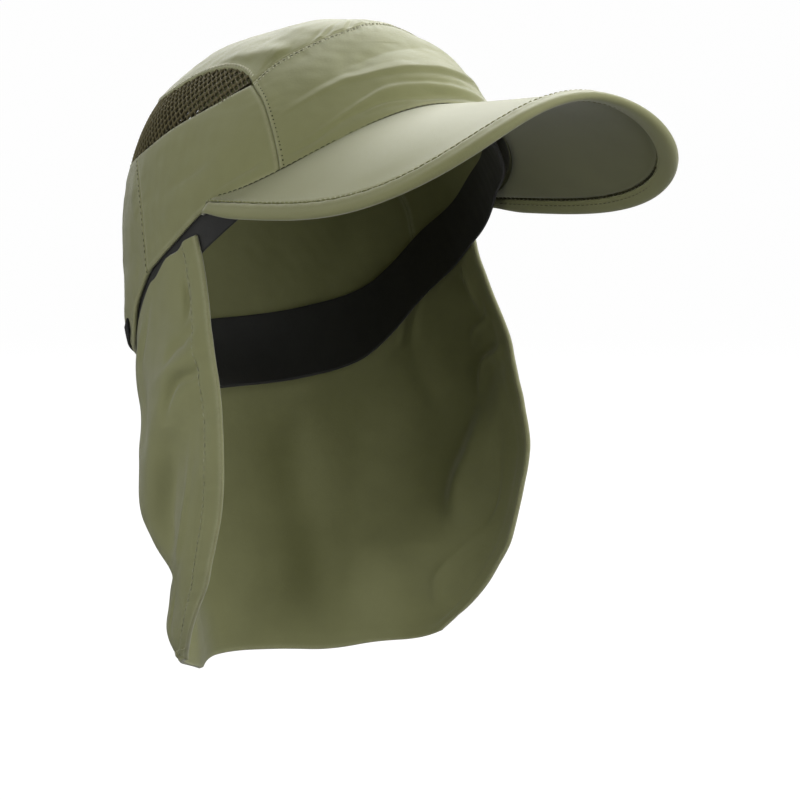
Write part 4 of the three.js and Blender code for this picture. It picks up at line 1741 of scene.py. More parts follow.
@dataclass
class Crown:
    """The crown: its five cloth panels, net, headband, strap and stitching."""

    form: CrownForm
    seams: SeamPlan
    wardrobe: Wardrobe

    EDGES = {
        "joined": EdgeProfile(
            drop=0.5, drop_width=0.5, pucker=0.06, pucker_pitch=8.0, pucker_reach=4.0
        ),
        "lipped": EdgeProfile(
            drop=0.8, drop_width=0.4, rise=0.3, rise_width=1.7,
            rows=(2.2,), row_dent=0.22, row_width=0.5,
            pucker=0.08, pucker_pitch=7.0, pucker_reach=5.0,
        ),
        "lowered": EdgeProfile(
            drop=0.6, drop_width=0.7, pucker=0.06, pucker_pitch=9.0, pucker_reach=5.0
        ),
        "top": EdgeProfile(
            drop=0.8, drop_width=0.4, rise=0.12, rise_width=1.9,
            rows=(1.5,), row_dent=0.2, row_width=0.45,
            pucker=0.07, pucker_pitch=7.0, pucker_reach=5.0,
        ),
        "tuck": EdgeProfile(drop=1.5, drop_width=1.3),
        "hem": EdgeProfile(
            drop=0.7, drop_width=0.9, pucker=0.1, pucker_pitch=14.0, pucker_reach=7.0
        ),
        "vent": EdgeProfile(drop=1.1, drop_width=0.5, rows=(1.3,), row_dent=0.2, row_width=0.5),
    }

    def build(self) -> None:
        """Make and dress every piece of the crown."""
        cloth = self.wardrobe.get(OLIVE)
        edge = self.EDGES
        common = {"form": self.form, "seams": self.seams}
        front = FrontPanel(
            **common, across_mm=185, up_mm=58, step_across=0.85, step_up=0.55, seed=3, low_fade=0.6,
            left=edge["lipped"], right=edge["lipped"], low=edge["tuck"], high=edge["top"],
        )
        place_piece(front.build(), "front_panel_cloth", cloth, "crown_cloth", "front_panel")
        sides = {}
        for side, node in ((Side.RIGHT, "side_panel_right"), (Side.LEFT, "side_panel_left")):
            front_first = side is Side.LEFT
            panel = SidePanel(
                **common, across_mm=80, up_mm=60, side=side, seed=7 + side.value,
                left=edge["lowered"] if front_first else edge["joined"],
                right=edge["joined"] if front_first else edge["lowered"],
                low=edge["hem"], high=edge["vent"],
            )
            place_piece(panel.build(), f"{node}_cloth", cloth, "crown_cloth", node)
            sides[side] = panel
        rear = RearPanel(
            **common, across_mm=230, up_mm=75, step_across=1.35, step_up=1.25,
            seed=13, unevenness=0.4,
            left=edge["joined"], right=edge["joined"], low=edge["hem"], high=edge["vent"],
        )
        place_piece(rear.build(), "rear_panel_cloth", cloth, "crown_cloth", "rear_panel")
        top = TopPanel(**common)
        place_piece(top.build(), "top_panel_cloth", cloth, "crown_cloth", "top_panel")
        for kind, name, finish, slot, node in (
            (VentBand, "vent_net", NET_PAINTED_SHADE, "vent_mesh", "vent_band"),
            (Sweatband, "sweatband_cloth", CHARCOAL_AND_PAINTED_SHADE, "band_cloth", "sweatband"),
            (RearStrap, "rear_strap_webbing", WEBBING, "strap", "rear_strap"),
        ):
            place_piece(kind(**common).build(), name, self.wardrobe.get(finish), slot, node)
        self.sew(front, sides, rear, top)

    def sew(
        self, front: FrontPanel, sides: dict[Side, SidePanel], rear: RearPanel, top: TopPanel
    ) -> None:
        """Lay the crown's stitching: pale thread, and dark marks that paint the shade of needle
        holes and seam lines.

        Args:
            front: The front panel.
            sides: The side panels by side.
            rear: The rear panel.
            top: The top panel.
        """
        dark, light = MeshDraft(), MeshDraft()
        # Dark dots, dashes and a near-continuous line paint the shade of needle holes and of the
        # seam line.
        dots = Stitching(length=1.1, gap=1.15, width=0.68, height=0.25, lift=-0.02, uneven=0.35)
        dashes = Stitching(length=1.9, gap=1.0, width=0.4, height=0.3, lift=0.02, uneven=0.4)
        fine = Stitching(length=1.3, gap=0.6, width=0.55, height=0.42, lift=0.1, uneven=0.3)
        line = Stitching(length=2.3, gap=0.35, width=0.42, height=0.3, lift=-0.1, uneven=0.25)
        rows = [
            (dots, dark, front, "left", 2.2), (dashes, dark, rear, "left", 0.9),
            (dots, dark, front, "right", 2.2), (dashes, dark, rear, "right", 0.9),
            (line, dark, front, "high", 0.3), (dashes, dark, front, "high", 1.6),
            (fine, light, front, "high", 1.0), (fine, light, front, "high", 2.4),
        ]
        rows += [(fine, light, panel, "high", 1.3) for panel in (*sides.values(), rear)]
        for kind, thread, panel, edge, off in rows:
            kind.sew(thread, *panel.grid.follow(edge, off))
        path, facing = top.grid.follow("low", 2.5)
        turn = np.degrees(np.arctan2(path[:, 0], -path[:, 1]))
        shown = from_front(turn) > self.seams.front_high + 0.5
        order = np.argsort(np.where(shown, turn % 360, np.inf))
        keep = order[: int(shown.sum())]
        fine.sew(light, path[keep], facing[keep], sway=0.75, pitch=1.05)
        # Dark marks of painted shade along the seams.
        place_piece(dark, "crown_seam_painted_shade", self.wardrobe.get(PAINTED_SHADE_THREAD), "crown_cloth")
        place_piece(light, "crown_top_stitching", self.wardrobe.get(PALE_THREAD), "crown_cloth")


# ---- peak


@dataclass
class PeakForm:
    """Arched sheet that the peak's layers follow, addressed from its rim inward."""

    crown: CrownForm
    seams: SeamPlan
    columns: int = 240
    half_width: float = 86.67
    reach: float = 147.1
    rear_y: float = -25.4
    squareness: float = 3.93
    crest: float = 50.73
    arch_depth: float = 111.5
    arch_half_width: float = 104.6
    arch_power: float = 1.882
    fall: float = 0.0115
    fall_side: float = 0.016
    fall_from: float = 85.0
    tuck: float = 5.08
    tuck_side: float = 0.15
    tuck_start: float = 0.03
    root_az: float = 79.0
    root_power: float = 0.94
    tail_length: float = 11.5
    tail_in: float = 4.4
    tail_drop: float = 1.5
    root_depth: float = 5.0

    RIM_SAMPLES, TAIL_SAMPLES, END_SAMPLES, FLAT_SAMPLES = 6001, 200, 240, 400
    WIDEST_SHARE = 0.999
    SLOPE_STEP = 0.1

    def __post_init__(self) -> None:
        """Work out the rim, the root and the inward directions."""
        self.rim = self.outline()
        self.tail = np.clip((self.rim[:, 1] - self.rear_y) / self.tail_length, 0, 1) ** 2
        s = np.linspace(-1, 1, self.columns + 1)
        az = self.root_az * np.sign(s) * np.abs(s) ** self.root_power
        self.root = self.crown.point(az, self.seams.rim(az) + 1, -self.root_depth)
        self.root[:, 2] = 0.0
        way = np.gradient(self.rim[:, :2], axis=0)
        inward = unit(np.stack([-way[:, 1], way[:, 0]], axis=-1))
        inward[:, 0] /= np.hypot(1.0, self.slope(self.rim[:, 0]))
        self.inward = inward

    def arch(self, x: Array) -> Array:
        """How far the sheet has fallen at a distance from the middle."""
        t = np.minimum(np.abs(x) / self.arch_half_width, self.WIDEST_SHARE)
        return self.arch_depth * (1 - (1 - t**self.arch_power) ** (1 / self.arch_power))

    def slope(self, x: Array) -> Array:
        """Steepness of the arch."""
        step = self.SLOPE_STEP
        return (self.arch(x + step) - self.arch(x - step)) / (2 * step)

    def outline(self) -> Array:
        """Draw the rim in plan, cut into equal lengths along the bent sheet.

        Returns:
            Points of the rim, with no height.
        """
        t = np.linspace(-math.pi / 2, math.pi / 2, self.RIM_SAMPLES)
        power = 2 / self.squareness
        x = self.half_width * np.sign(np.sin(t)) * np.abs(np.sin(t)) ** power
        y = self.rear_y - self.reach * np.abs(np.cos(t)) ** power
        u = np.linspace(1, 0, self.TAIL_SAMPLES)[:-1]
        turned = self.half_width - self.tail_in * u**2
        back = self.rear_y + self.tail_length * u
        side = np.full(u.shape, self.half_width)
        z = -self.arch(np.concatenate([side, x, side]))
        x = np.concatenate([-turned, x, turned[::-1]])
        y = np.concatenate([back, y, back[::-1]])
        fine = np.stack([x, y, z], axis=-1)
        length = running(np.linalg.norm(np.diff(fine, axis=0), axis=1))
        want = np.linspace(0, length[-1], self.columns + 1)
        rim = np.stack([np.interp(want, length, fine[:, k]) for k in range(3)], axis=-1)
        rim[:, 2] = 0.0
        return rim

    def point(self, inset: Array | float, share: Array, height: Array | float) -> Array:
        """Points of the peak.

        Args:
            inset: Distance in from the rim, in millimetres.
            share: Share of the way to the root, one row for each grid row.
            height: Distance above the sheet, in millimetres.

        Returns:
            A grid of places with one column for each rim point.
        """
        share = np.asarray(share, float)
        inset = np.broadcast_to(np.asarray(inset, float), share.shape)
        start = self.rim[None, :, :2] + self.inward[None] * inset[..., None]
        plan = lerp(start, self.root[None, :, :2], share[..., None])
        x, y = plan[..., 0], plan[..., 1]
        far = np.sign(x) * (np.abs(x) + self.tail_in * self.tail)
        side = (far / self.half_width) ** 2
        dip = np.sqrt(share + self.tuck_start) - math.sqrt(self.tuck_start)
        full = math.sqrt(1 + self.tuck_start) - math.sqrt(self.tuck_start)
        fall = lerp(self.fall, self.fall_side, side)
        tuck = self.tuck * dip / full * (1 + self.tuck_side * side)
        z = self.crest - self.arch(far) + fall * (y + self.fall_from) - tuck
        z = z - self.tail_drop * self.tail * (1 - share)
        normal = unit(np.stack([self.slope(far), -fall, np.ones(x.shape)], axis=-1))
        height = np.broadcast_to(np.asarray(height, float), x.shape)
        return np.stack([x, y, z], axis=-1) + normal * height[..., None]

    def beside_rim(self, inset: float, height: Array | float) -> Array:
        """Points at a distance in from the rim, one for each of its points."""
        return self.point(inset, np.zeros((1, self.columns + 1)), height)[0]

    def cloth(self, points: Array) -> Array:
        """Lay points of the sheet flat.

        Args:
            points: Places in millimetres.

        Returns:
            Their cloth coordinates.
        """
        x = np.linspace(0, 100, self.FLAT_SAMPLES)
        run = running(np.hypot(np.diff(x), np.diff(self.arch(x))))
        across = np.sign(points[..., 0]) * np.interp(np.abs(points[..., 0]), x, run)
        return np.stack([across, points[..., 1]], axis=-1)

    def ends(self, inset: float, height: float, depth: float) -> Array:
        """Find where the sheet runs into the crown's form.

        Args:
            inset: Distance in from the rim.
            height: Distance above the sheet.
            depth: How far inside the form the end lies.

        Returns:
            Shares of the way to the root, one for each rim point.
        """
        share = np.linspace(0, 1, self.END_SAMPLES)[:, None] * np.ones((1, self.columns + 1))
        points = self.point(inset, share, height)
        inside = self.crown.clearance(points) < -depth
        inside[0] = False
        first = np.argmax(inside, axis=0)
        found = inside.any(axis=0)
        return np.where(found, share[first, 0], 1.0)


@dataclass
class Peak:
    """The long peak: its smooth top, rolled binding and inset underside."""

    form: PeakForm
    wardrobe: Wardrobe
    top_inset: float = 7.9
    under_inset: float = 9.9
    core: float = 1.6
    under_top: float = -1.7
    under_bottom: float = -2.55
    rows: int = 66
    taper: float = 0.42
    taper_from: float = 0.865
    taper_to: float = 1.0
    taper_height: float = -1.8
    taper_inset: float = 6.8
    heavy: float = 1.3
    heavy_at: float = 0.28
    heavy_width: float = 0.14
    joint_depth: float = 0.3
    length: float = 110.0
    sunk: float = 1.0
    pinch: float = 0.12
    pinch_length: float = 1.35

    PINCH = EdgeBand(2.6, 2.5)
    PINCH_ROW = 5
    # Lighter line on the binding's crest: partly rubbed wear, partly painted highlight.
    BINDING_CREST_WEAR_AND_HIGHLIGHT = EdgeBand(2.7, 0.8, 1.3)
    SHEET_WEAR = EdgeBand(1.0, 1.0)
    NOISE = (41, 60.0)
    NOISE_HEIGHT = 0.25
    NOISE_FADE = (1.0, 20.0)
    RECESS_FROM = 0.38
    BINDING = (
        (7.0, -1.2), (6.97, -0.2), (6.85, 0.4), (6.55, 0.75), (6.1, 0.88), (5.5, 0.78),
        (4.6, 0.52), (3.2, 0.38), (2.0, 0.28), (1.0, -0.05), (0.3, -0.6), (0.0, -1.3),
        (0.05, -2.0), (0.4, -2.7), (1.1, -3.2), (2.2, -3.55), (3.8, -3.7), (5.8, -3.7),
        (7.4, -3.62), (8.2, -3.45), (8.6, -3.05), (8.6, -2.15), (7.1, -2.1),
    )

    def sheet(
        self, inset: float, high: float, low: float, relief: Callable[[Array], Array], rows: int
    ) -> tuple[MeshDraft, ClothGrid]:
        """Make one layer of the peak.

        Args:
            inset: Distance of its outer edge from the rim.
            high: Height of its upper side.
            low: Height of its lower side.
            relief: Gives the height added at a distance from its outer edge.
            rows: Number of rows from the rim to the crown.

        Returns:
            The layer's mesh and the grid of its shown side.
        """
        end = self.form.ends(inset, (high + low) / 2, self.sunk)
        share = knots(self.length, self.length / rows)[:, None] * end[None, :]
        flat = self.form.point(inset, share, high)
        plan = ClothGrid.measured(flat)
        noise = SoftNoise(*self.NOISE)(flat) * self.NOISE_HEIGHT
        soft = noise * smoothstep(plan.low, *self.NOISE_FADE)
        upper = self.form.point(inset, share, high + relief(plan.low) + soft * (high >= 0))
        lower = self.form.point(inset, share, low + relief(plan.low) * (high < 0))
        draft = MeshDraft()
        cloth_body(draft, upper, lower, self.form.cloth(flat), self.SHEET_WEAR.share(plan.low))
        return draft, plan.moved(upper if high >= 0 else lower)

    def binding(self) -> MeshDraft:
        """Make the rolled binding.

        Returns:
            The mesh.
        """
        outline = np.array(self.BINDING)
        reach = np.abs(np.linspace(-1, 1, self.form.columns + 1))
        heavy = self.heavy * hump(reach - self.heavy_at, self.heavy_width)
        lower = np.clip(-(outline[:, 1] + 1.0) / 2.0, 0, 1)
        places = zip(outline, lower)
        grid = np.stack([self.form.beside_rim(s, h - heavy * deep) for (s, h), deep in places])
        heart = self.form.beside_rim(self.taper_inset, self.taper_height)
        slim = 1 - self.taper * smoothstep(reach, self.taper_from, self.taper_to)
        grid = heart + (grid - heart) * slim[None, :, None]
        run = running(np.hypot(*np.diff(outline, axis=0).T))
        along = ClothGrid.measured(grid).left[self.PINCH_ROW]
        waves = self.pinch * np.sin(along / self.pinch_length)
        pinch = waves[None, :] * self.PINCH.share(run)[:, None]
        grid = grid + pinch[..., None] * np.array([0.0, 0.0, 1.0])
        cloth = np.stack(np.meshgrid(along, run), axis=-1)
        # Rubbed wear and painted highlight along the binding's crest.
        wear_and_painted_light = self.BINDING_CREST_WEAR_AND_HIGHLIGHT.share(run)[:, None] * np.ones(grid.shape[:2])
        draft = MeshDraft()
        start = draft.add_points(grid, cloth, wear_and_painted_light)
        ids = np.arange(grid.shape[0] * grid.shape[1]).reshape(grid.shape[:2]) + start
        draft.add_grid_faces(np.concatenate([ids, ids[:1]], axis=0))
        draft.add_faces(ids[:, 0][None, :])
        draft.add_faces(ids[::-1, -1][None, :])
        return draft

    def build(self) -> None:
        """Make and dress every piece of the peak."""
        cloth = self.wardrobe.get(OLIVE_PEAK)
        groove = EdgeProfile(drop=0.8, drop_width=0.8, rows=(1.7,), row_dent=0.25)
        top, top_grid = self.sheet(
            self.top_inset, 0.0, -self.core, lambda d: groove.relief(d, d), self.rows
        )
        place_piece(top, "peak_top_cloth", cloth, "peak_cloth", "peak_top")
        place_piece(self.binding(), "peak_edge_binding", cloth, "peak_cloth", "peak_edge")
        # The underside uses the darker copy of the olive cloth, painted shade under the peak.
        below = self.wardrobe.get(OLIVE_UNDER_PAINTED_SHADE)
        under, _ = self.sheet(
            self.under_inset, self.under_top, self.under_bottom, np.zeros_like, self.rows // 2
        )
        place_piece(under, "peak_underside_cloth", below, "under_cloth", "peak_underside")

        olive, pale, dark = (self.wardrobe.get(kind) for kind in (OLIVE, PALE_THREAD, PAINTED_SHADE_THREAD))
        filling = Stitching(length=2.7, gap=0.1, width=0.9, height=0.8)
        groove_path = self.rim_path(7.45, 0.45)
        thread_piece("peak_groove_thread", olive, "peak_cloth", filling, groove_path)
        sewing = Stitching(length=2.2, gap=0.8, width=0.6, height=0.42, lift=0.06)
        top_path = top_grid.follow("low", 1.5)
        thread_piece("peak_top_stitching", pale, "peak_cloth", sewing, top_path)
        # Stitches under the peak in the same darker olive, painted shade.
        path, facing = self.rim_path(6.2, -3.75)
        thread_piece("peak_under_stitching", below, "under_cloth", sewing, (path, -facing))
        # A near-black cord along the recess between the binding and the underside paints the shadow
        # there, on both outer parts of the peak.
        path, facing = self.rim_path(9.25, -2.75)
        reach = np.linspace(-1, 1, self.form.columns + 1)
        ends = (reach < -self.RECESS_FROM, reach > self.RECESS_FROM)
        paths = [(path[end], -facing[end]) for end in ends]
        recess_shadow = Stitching(length=2.7, gap=0.05, width=1.2, height=0.6)
        thread_piece("peak_recess_painted_shadow", dark, "under_cloth", recess_shadow, *paths)
        # A nearly unbroken dark cord where the peak meets the crown: seam stitching that also
        # paints the shade of the joint.
        end = self.form.ends(self.top_inset, 0.0, self.joint_depth)[None, :]
        path, above = (self.form.point(self.top_inset, end, height)[0] for height in (0.1, 1.1))
        joining = Stitching(length=2.6, gap=0.12, width=0.6, height=0.45)
        joint_path = (path, unit(above - path))
        thread_piece("peak_joint_seam_and_painted_shade", dark, "peak_cloth", joining, joint_path)

    def rim_path(self, inset: float, height: float) -> tuple[Array, Array]:
        """Points along the binding at an inset and height, and the sheet's upward directions."""
        path, above = (self.form.beside_rim(inset, level) for level in (height, height + 1.0))
        return path, unit(above - path)


# ---- neck flap


@dataclass
class NeckFlap:
    """Cloth that hangs from the headband round the sides and the back of the neck."""

    crown: CrownForm
    seams: SeamPlan
    wardrobe: Wardrobe
    thickness: float = 1.5
    hem_extra: float = 0.8
    hem_width: float = 9.6
    seat: float = -2.25
    tip_z: float = -197.0
    back_z: float = -211.0
    columns: int = 250
    rows: int = 122
    cut_width: float = 0.36
    cut_length: float = 0.205
    cut_area: float = 0.052
    crease_scale: float = 1.25
    left_sag: float = 5.0
    sag_az: float = 99.0
    sag_width: float = 15.0
    top_z: float = -7.0
    length_across: float = 390.0
    length_up: float = 200.0
    hem_blend: float = 0.8
    bulge: float = 0.5

    TURNS = (55.0, 82.0, 105.0, 129.0, 180.0, 231.0)
    HEM_OUT, HEM_IN = 0.6, 0.4
    TIP_PACE = 1.6
    HANG_SHARE = 0.3
    SAG_FROM = 0.55
    FADE = (4.0, 22.0)
    NOISE = ((61, 46.0, 0.55), (62, 15.0, 0.1))
    CREASE_MM_PER_DEGREE = 1.5
    WEAR = EdgeBand(0.6, 1.2)
    LEVELS = (
        (-211, 70, 64, 57, 69, 99), (-197, 77, 70, 58, 72, 93), (-185, 84, 74, 60, 76, 84.2),
        (-166, 89.5, 75, 65, 82, 75), (-157, 92, 77, 69, 85, 71.5), (-147, 94, 81, 74, 88, 69.5),
        (-128, 96.5, 86.5, 79.5, 93, 66.5), (-110, 98, 88.5, 80.5, 96, 65),
        (-91, 96.5, 87.5, 80.5, 97, 65.7), (-60, 92, 87, 84, 97, 69.8),
        (-30, 86, 85, 85, 97, 76.4), (-7, 82, 84, 86, 97, 81.5),
    )
    FOLDS = (
        (84, -118, -0.25, 8, 36, -8), (120, -63, 0, 9, 16, 5.8), (104, -86, 0.3, 5, 20, -2),
        (150, -130, 0.1, 9, 50, -4), (109, -135, 0, 13, 13, 2.4), (107, -161, 0, 12, 5.5, -2.6),
        (103, -190, 0, 13, 13, 3.4),
    )
    TOP_DROPS = (
        (77, 4.6), (81.5, 4.2), (84, 2.9), (87.2, 1.6), (89.6, 2.1), (92.3, 1.5), (96.2, 0.4),
        (98, 0.7), (99.8, 1.3), (102.8, 1.9), (106.4, 0.9), (110, 0.9), (117, 1.2), (126, 2.4),
        (150, 2.6), (180, 2.6),
    )
    CREASES = (
        CreaseLine(((87, -26, -0.4), (85.4, -34, -2.0), (83.4, -40, -2.2), (82.5, -46.4, -0.6)),
                   1.5, 1.5),
        CreaseLine(((92, -46, 0.2), (86, -49, 0.5), (82.6, -51, 0.8), (78.2, -53, 0.5)), 3.4, 2.6),
        CreaseLine(((88, -66, -0.4), (85.7, -59.5, -1.7), (81.7, -55.2, -2.0),
                    (78.4, -50.6, -0.9)), 1.8, 2.6, 1.6),
        CreaseLine(((94, -75, 0.2), (89.9, -70.5, 0.9), (85.1, -66.9, 1.3), (81, -64.1, 1.3),
                    (77.6, -59.7, 0.5)), 4.2, 3.2),
        CreaseLine(
            ((86.5, -90, -0.4), (85.5, -81, -2.2), (83.8, -74.4, -3.2), (81, -71, -3.2),
             (77, -68.8, -2.4),
             (75.4, -65, -0.8)), 2.8, 2.2, 1.6,
        ),
        CreaseLine(((108, -34, 0.2), (111, -44, 1.7), (113, -54, 1.9), (114, -66, 0.5)), 1.8, 1.8),
        CreaseLine(((104, -34, -0.2), (107, -46, -1.0), (109, -58, -1.0), (110, -70, -0.2)),
                   2.4, 2.4),
        CreaseLine(((77, -98, 0.2), (77.8, -112, 0.9), (78.8, -126, 1.3), (79.8, -136, 1.5),
                    (81.4, -143, 1.4), (84, -151, 0.4)), 2.2, 1.8),
        CreaseLine(((84.5, -92, -0.5), (86, -102, -2.4), (89, -117, -3.6), (92.5, -133, -3.2),
                    (90, -150, -0.6)), 6.5, 6.5),
        CreaseLine(((82.5, -152, -0.4), (90, -163, -1.6), (97, -174, -1.8), (98, -186, -0.6)),
                   3.0, 2.4, 1.6),
    )

    def radius(self, az: Array, z: Array) -> Array:
        """Distance of the flap from the upright axis.

        Args:
            az: Turns from the front, 0 to 180.
            z: Heights in millimetres.

        Returns:
            Distances in millimetres.
        """
        side, flank, quarter, back = (SmoothTable(self.LEVELS, k)(z) for k in (1, 2, 3, 4))
        turns = np.array(self.TURNS)
        values = np.stack([side, side, flank, quarter, back, quarter], axis=-1)
        slopes = np.diff(values, axis=-1) / np.diff(turns)
        inner = (slopes[..., :-1] + slopes[..., 1:]) / 2
        tangents = np.concatenate([slopes[..., :1], inner, slopes[..., -1:]], axis=-1)
        x = np.clip(az, turns[0], turns[-1])
        i = np.clip(np.searchsorted(turns, x, side="right") - 1, 0, len(turns) - 2)
        span = turns[i + 1] - turns[i]

        def pick(table: Array) -> list[Array]:
            """A table's numbers at the knots before and after each point."""
            knot = (i[..., None], i[..., None] + 1)
            return [np.take_along_axis(table, k, axis=-1)[..., 0] for k in knot]

        r = blend_knots((x - turns[i]) / span, span, pick(values), pick(tangents))
        for turn, level, lean, wide, tall, height in self.FOLDS:
            up = z - level
            off = (az - turn - lean * up) / wide
            r = r + height * np.exp(-off * off - (up / tall) ** 2)
        return r

    def point(self, s: Array, v: Array, off: Array | float) -> tuple[Array, Array, Array]:
        """Points of the flap on the wearer's left.

        Args:
            s: Shares from the front edge to the middle of the back.
            v: Shares from the top edge to the lower hem.
            off: Distance outward from the flap's inner side.

        Returns:
            Places, their turns and their heights.
        """
        edge = SmoothTable(self.LEVELS, 5)
        top_az = lerp(float(edge(self.top_z)), 180.0, s)
        drop = SmoothTable(self.TOP_DROPS)(top_az)
        off = np.broadcast_to(np.asarray(off, float), s.shape)
        top = self.crown.point(top_az, self.seams.rim(top_az) - drop, self.seat + off)
        round_tip = np.sin(math.pi / 2 * np.minimum(1, s * self.TIP_PACE))
        bottom = lerp(self.tip_z, self.back_z, round_tip)
        z = lerp(top[..., 2], bottom, v)
        tip = lerp(self.top_z, self.tip_z, v)
        az = lerp(edge(tip), 180.0, s)
        top_r = np.hypot(top[..., 0], top[..., 1])
        share = smoothstep(v, 0.0, self.HANG_SHARE)
        r = lerp(top_r, self.radius(az, z) + off - self.thickness, share)
        a = np.radians(az)
        return np.stack([r * np.sin(a), -r * np.cos(a), z], axis=-1), az, z

    def build(self) -> None:
        """Make and dress the flap."""
        q = knots(self.length_across, self.length_across / (self.columns - 10)) * 2 - 1
        v = knots(self.length_up, self.length_up / (self.rows - 10))
        side, v = np.meshgrid(q, v)
        s = 1 - np.abs(side)
        sign = np.where(side < 0, 1.0, -1.0)
        base, az, z = self.point(s, v, self.thickness)
        base[..., 0] *= sign
        plan = ClothGrid.measured(base)
        front = np.minimum(plan.left, plan.right)
        hem_from, hem_to = self.hem_width - self.hem_blend, self.hem_width + self.hem_blend
        hem = np.maximum(*(1 - smoothstep(off, hem_from, hem_to) for off in (front, plan.high)))
        sewn = EdgeProfile(
            rows=(self.hem_width,), row_dent=0.55, row_width=0.8,
            pucker=0.36, pucker_pitch=12.0, pucker_reach=9.0,
        )
        detail = sewn.relief(front, plan.low) + sewn.relief(plan.high, plan.left)
        creases = np.zeros(s.shape)
        scale = self.CREASE_MM_PER_DEGREE
        for crease in self.CREASES:
            rows = tuple((a * scale, level, height) for a, level, height in crease.places)
            line = CreaseLine(rows, crease.left, crease.right, crease.sharpness)
            creases = creases + self.crease_scale * line.relief(az * scale, z)
        fade = smoothstep(plan.low, *self.FADE)
        soft = sum(SoftNoise(seed, size)(base) * height for seed, size, height in self.NOISE) * fade
        lift = soft + creases * fade
        swell = hem * self.hem_extra
        outer, _, _ = self.point(s, v, self.thickness + lift + swell * self.HEM_OUT + detail)
        inner, _, _ = self.point(s, v, lift - swell * self.HEM_IN)
        sag = hump(az - self.sag_az, self.sag_width) * smoothstep(v, self.SAG_FROM, 1.0)
        for grid in (outer, inner):
            grid[..., 0] *= sign
            grid[..., 2] -= self.left_sag * sag * (sign > 0)
        wear_and_painted_light = self.WEAR.share(np.minimum(front, plan.high))
        draft = MeshDraft()
        cloth_body(draft, outer, inner, plan.cloth(), wear_and_painted_light, bulge=self.bulge)
        cloth, thread = self.wardrobe.get(OLIVE), self.wardrobe.get(OLIVE_THREAD)
        flap = place_piece(draft, "neck_flap_cloth", cloth, "flap_cloth", "neck_flap")
        grid = plan.moved(outer).turned()
        edges = ("left", "right", "high")
        paths = [self.outward(*grid.follow(edge, self.hem_width)) for edge in edges]
        sewing = Stitching(length=2.4, gap=0.9, width=0.65, height=0.45)
        thread = thread_piece("neck_flap_stitching", thread, "flap_cloth", sewing, *paths)

    def outward(self, path: Array, facing: Array) -> tuple[Array, Array]:
        """The path with its directions turned away from the upright axis."""
        away = np.sum(path[:, :2] * facing[:, :2], axis=1)
        return path, facing * np.where(away < 0, -1.0, 1.0)[:, None]


# ---- studio and camera


@dataclass(frozen=True)
class Lamp:
    """Soft square lamp, placed by distances to the right of, nearer than and above the cap."""

    name: str
    right: float
    near: float
    up: float
    size: float
    power: float


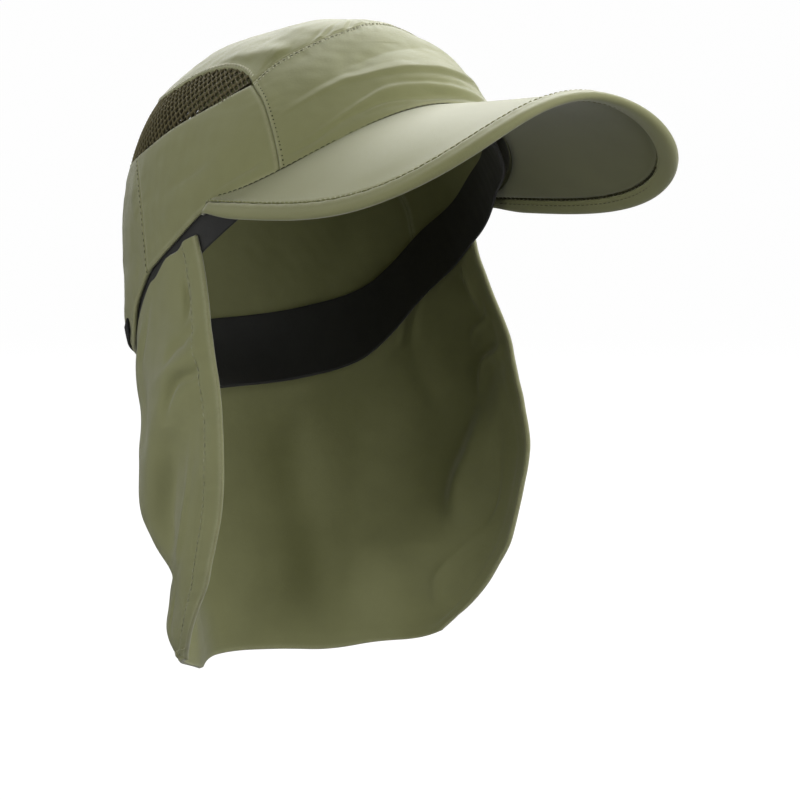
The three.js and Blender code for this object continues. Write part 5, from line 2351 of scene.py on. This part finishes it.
@dataclass
class Studio:
    """Pale floor that sweeps up behind, and soft light from above and around."""

    floor_z: float = -0.245
    depth: float = 6.0
    height: float = 7.0
    bend: float = 2.2
    glow: float = 0.98
    paper: float = 0.06
    turn_deg: float = CAMERA_TURN
    edges: int = 96
    bend_steps: int = 12
    hub: float = 0.05
    lamps: tuple[Lamp, ...] = (
        Lamp("right_light", 1.5, -0.15, 0.85, 1.2, 18.0),
        Lamp("back_top_light", 0.1, -1.2, 1.25, 1.2, 45.0),
        Lamp("front_top_light", 0.2, 1.2, 1.25, 1.2, 6.0),
        Lamp("front_light", 1.2, 1.2, 0.35, 1.2, 7.0),
        Lamp("side_light", -1.45, 0.9, -0.45, 1.2, 11.0),
        Lamp("far_side_light", -1.7, 0.0, 0.2, 1.4, 3.0),
        Lamp("under_light", 1.4, 0.8, -0.8, 1.2, 5.0),
    )

    SKY = ((0.0, 0.08), (0.3, 0.08), (0.5, 0.08), (0.7, 0.10), (1.0, 0.14))

    def floor(self) -> None:
        """Make the floor with its curved back, all round the camera's view."""
        material = bpy.data.materials.new("studio_paper")
        material.use_nodes = True
        shader = material.node_tree.nodes["Principled BSDF"]
        shader.inputs["Base Color"].default_value = (self.paper, self.paper, self.paper, 1.0)
        shader.inputs["Roughness"].default_value = 0.95
        shader.inputs["Specular IOR Level"].default_value = 0.05
        shader.inputs["Emission Color"].default_value = (1.0, 1.0, 1.0, 1.0)
        shader.inputs["Emission Strength"].default_value = self.glow
        turns = np.linspace(0, 2 * math.pi, self.edges + 1)[:-1]
        flat = self.depth - self.bend
        profile = [(self.hub, 0.0), (flat, 0.0)]
        for t in np.linspace(0, math.pi / 2, self.bend_steps + 1)[1:]:
            profile.append((flat + self.bend * math.sin(t), self.bend * (1 - math.cos(t))))
        profile.append((self.depth, self.height))
        rings = []
        for r, z in profile:
            level = np.full(turns.shape, z + self.floor_z)
            rings.append(np.stack([r * np.sin(turns), r * np.cos(turns), level], axis=-1))
        grid = np.stack(rings) / MM
        draft = MeshDraft()
        draft.add_points(grid)
        ids = np.arange(grid.shape[0] * grid.shape[1]).reshape(grid.shape[:2])
        draft.add_grid_faces(ids, ring=True)
        draft.add_faces(ids[0][None, ::-1])
        floor = draft.to_object("studio_floor", material)
        floor.visible_diffuse = False
        floor.visible_glossy = False
        floor.visible_shadow = False

    def sky(self) -> None:
        """Soft world light, brighter from above than from below."""
        world = bpy.data.worlds.new("studio_light")
        bpy.context.scene.world = world
        world.use_nodes = True
        board = NodeBoard(world.node_tree)
        back = world.node_tree.nodes["Background"]
        place = board.add("ShaderNodeTexCoord")
        parts = board.add("ShaderNodeSeparateXYZ")
        board.join(place.outputs["Generated"], parts.inputs[0])
        level = board.math("ADD", board.math("MULTIPLY", parts.outputs[2], 0.5), 0.5)
        ramp = board.add("ShaderNodeValToRGB")
        stops = ramp.color_ramp.elements
        while len(stops) < len(self.SKY):
            stops.new(0.5)
        for stop, (at, light) in zip(stops, self.SKY):
            stop.position = at
            stop.color = (light, light, light, 1.0)
        board.join(level, ramp.inputs[0])
        board.join(ramp.outputs[0], back.inputs["Color"])

    def hang(self, lamp: Lamp) -> None:
        """Hang one lamp so that it shines at the cap.

        Args:
            lamp: The lamp.
        """
        data = bpy.data.lights.new(lamp.name, "AREA")
        data.shape = "SQUARE"
        data.size = lamp.size
        data.energy = lamp.power
        light = bpy.data.objects.new(lamp.name, data)
        bpy.context.scene.collection.objects.link(light)
        turn = math.radians(self.turn_deg)
        right = np.array([math.cos(turn), -math.sin(turn), 0.0])
        near = np.array([-math.sin(turn), -math.cos(turn), 0.0])
        place = right * lamp.right + near * lamp.near + np.array([0.0, 0.0, lamp.up])
        light.location = place
        light.rotation_euler = look_along(-place)
        light.visible_camera = False

    def build(self) -> None:
        """Set up the whole studio."""
        self.floor()
        self.sky()
        for lamp in self.lamps:
            self.hang(lamp)
        bpy.context.scene.view_settings.view_transform = "Standard"
        log.info("studio ready")


def look_along(way: Array) -> tuple[float, float, float]:
    """Turn that points an object's -Z along a direction, with its Y up."""
    x, y, z = unit(np.asarray(way, float))
    return math.acos(-z), 0.0, math.atan2(-x, y)


@dataclass
class PhotoCamera:
    """Camera at the viewing angle of the picture that the cap is matched to."""

    distance: float = 1.27
    turn_deg: float = CAMERA_TURN
    height: float = 0.0278
    yaw_deg: float = 1.568
    pitch_deg: float = 5.152
    focal_px: float = 2813.0
    frame_px: float = 800.0
    sensor_mm: float = 36.0
    nearest: float = 0.05
    farthest: float = 40.0

    def build(self) -> None:
        """Make the camera and use it."""
        data = bpy.data.cameras.new("photo_camera")
        data.sensor_width = self.sensor_mm
        data.lens = self.sensor_mm * self.focal_px / self.frame_px
        data.clip_start = self.nearest
        data.clip_end = self.farthest
        camera = bpy.data.objects.new("photo_camera", data)
        bpy.context.scene.collection.objects.link(camera)
        turn = math.radians(self.turn_deg)
        x, y = -self.distance * math.sin(turn), -self.distance * math.cos(turn)
        camera.location = (x, y, self.height)
        tilt = math.pi / 2 - math.radians(self.pitch_deg)
        camera.rotation_euler = (tilt, 0.0, -turn - math.radians(self.yaw_deg))
        bpy.context.scene.camera = camera


# ---- main


def main() -> None:
    """Build the camera, the cap and the studio."""
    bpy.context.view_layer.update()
    PhotoCamera().build()
    form, seams, wardrobe = CrownForm(), SeamPlan(), Wardrobe()
    Crown(form, seams, wardrobe).build()
    Peak(PeakForm(form, seams), wardrobe).build()
    NeckFlap(form, seams, wardrobe).build()
    Studio().build()


if __name__ == "__main__":
    logging.basicConfig(level=logging.INFO, format="%(message)s")
    main()
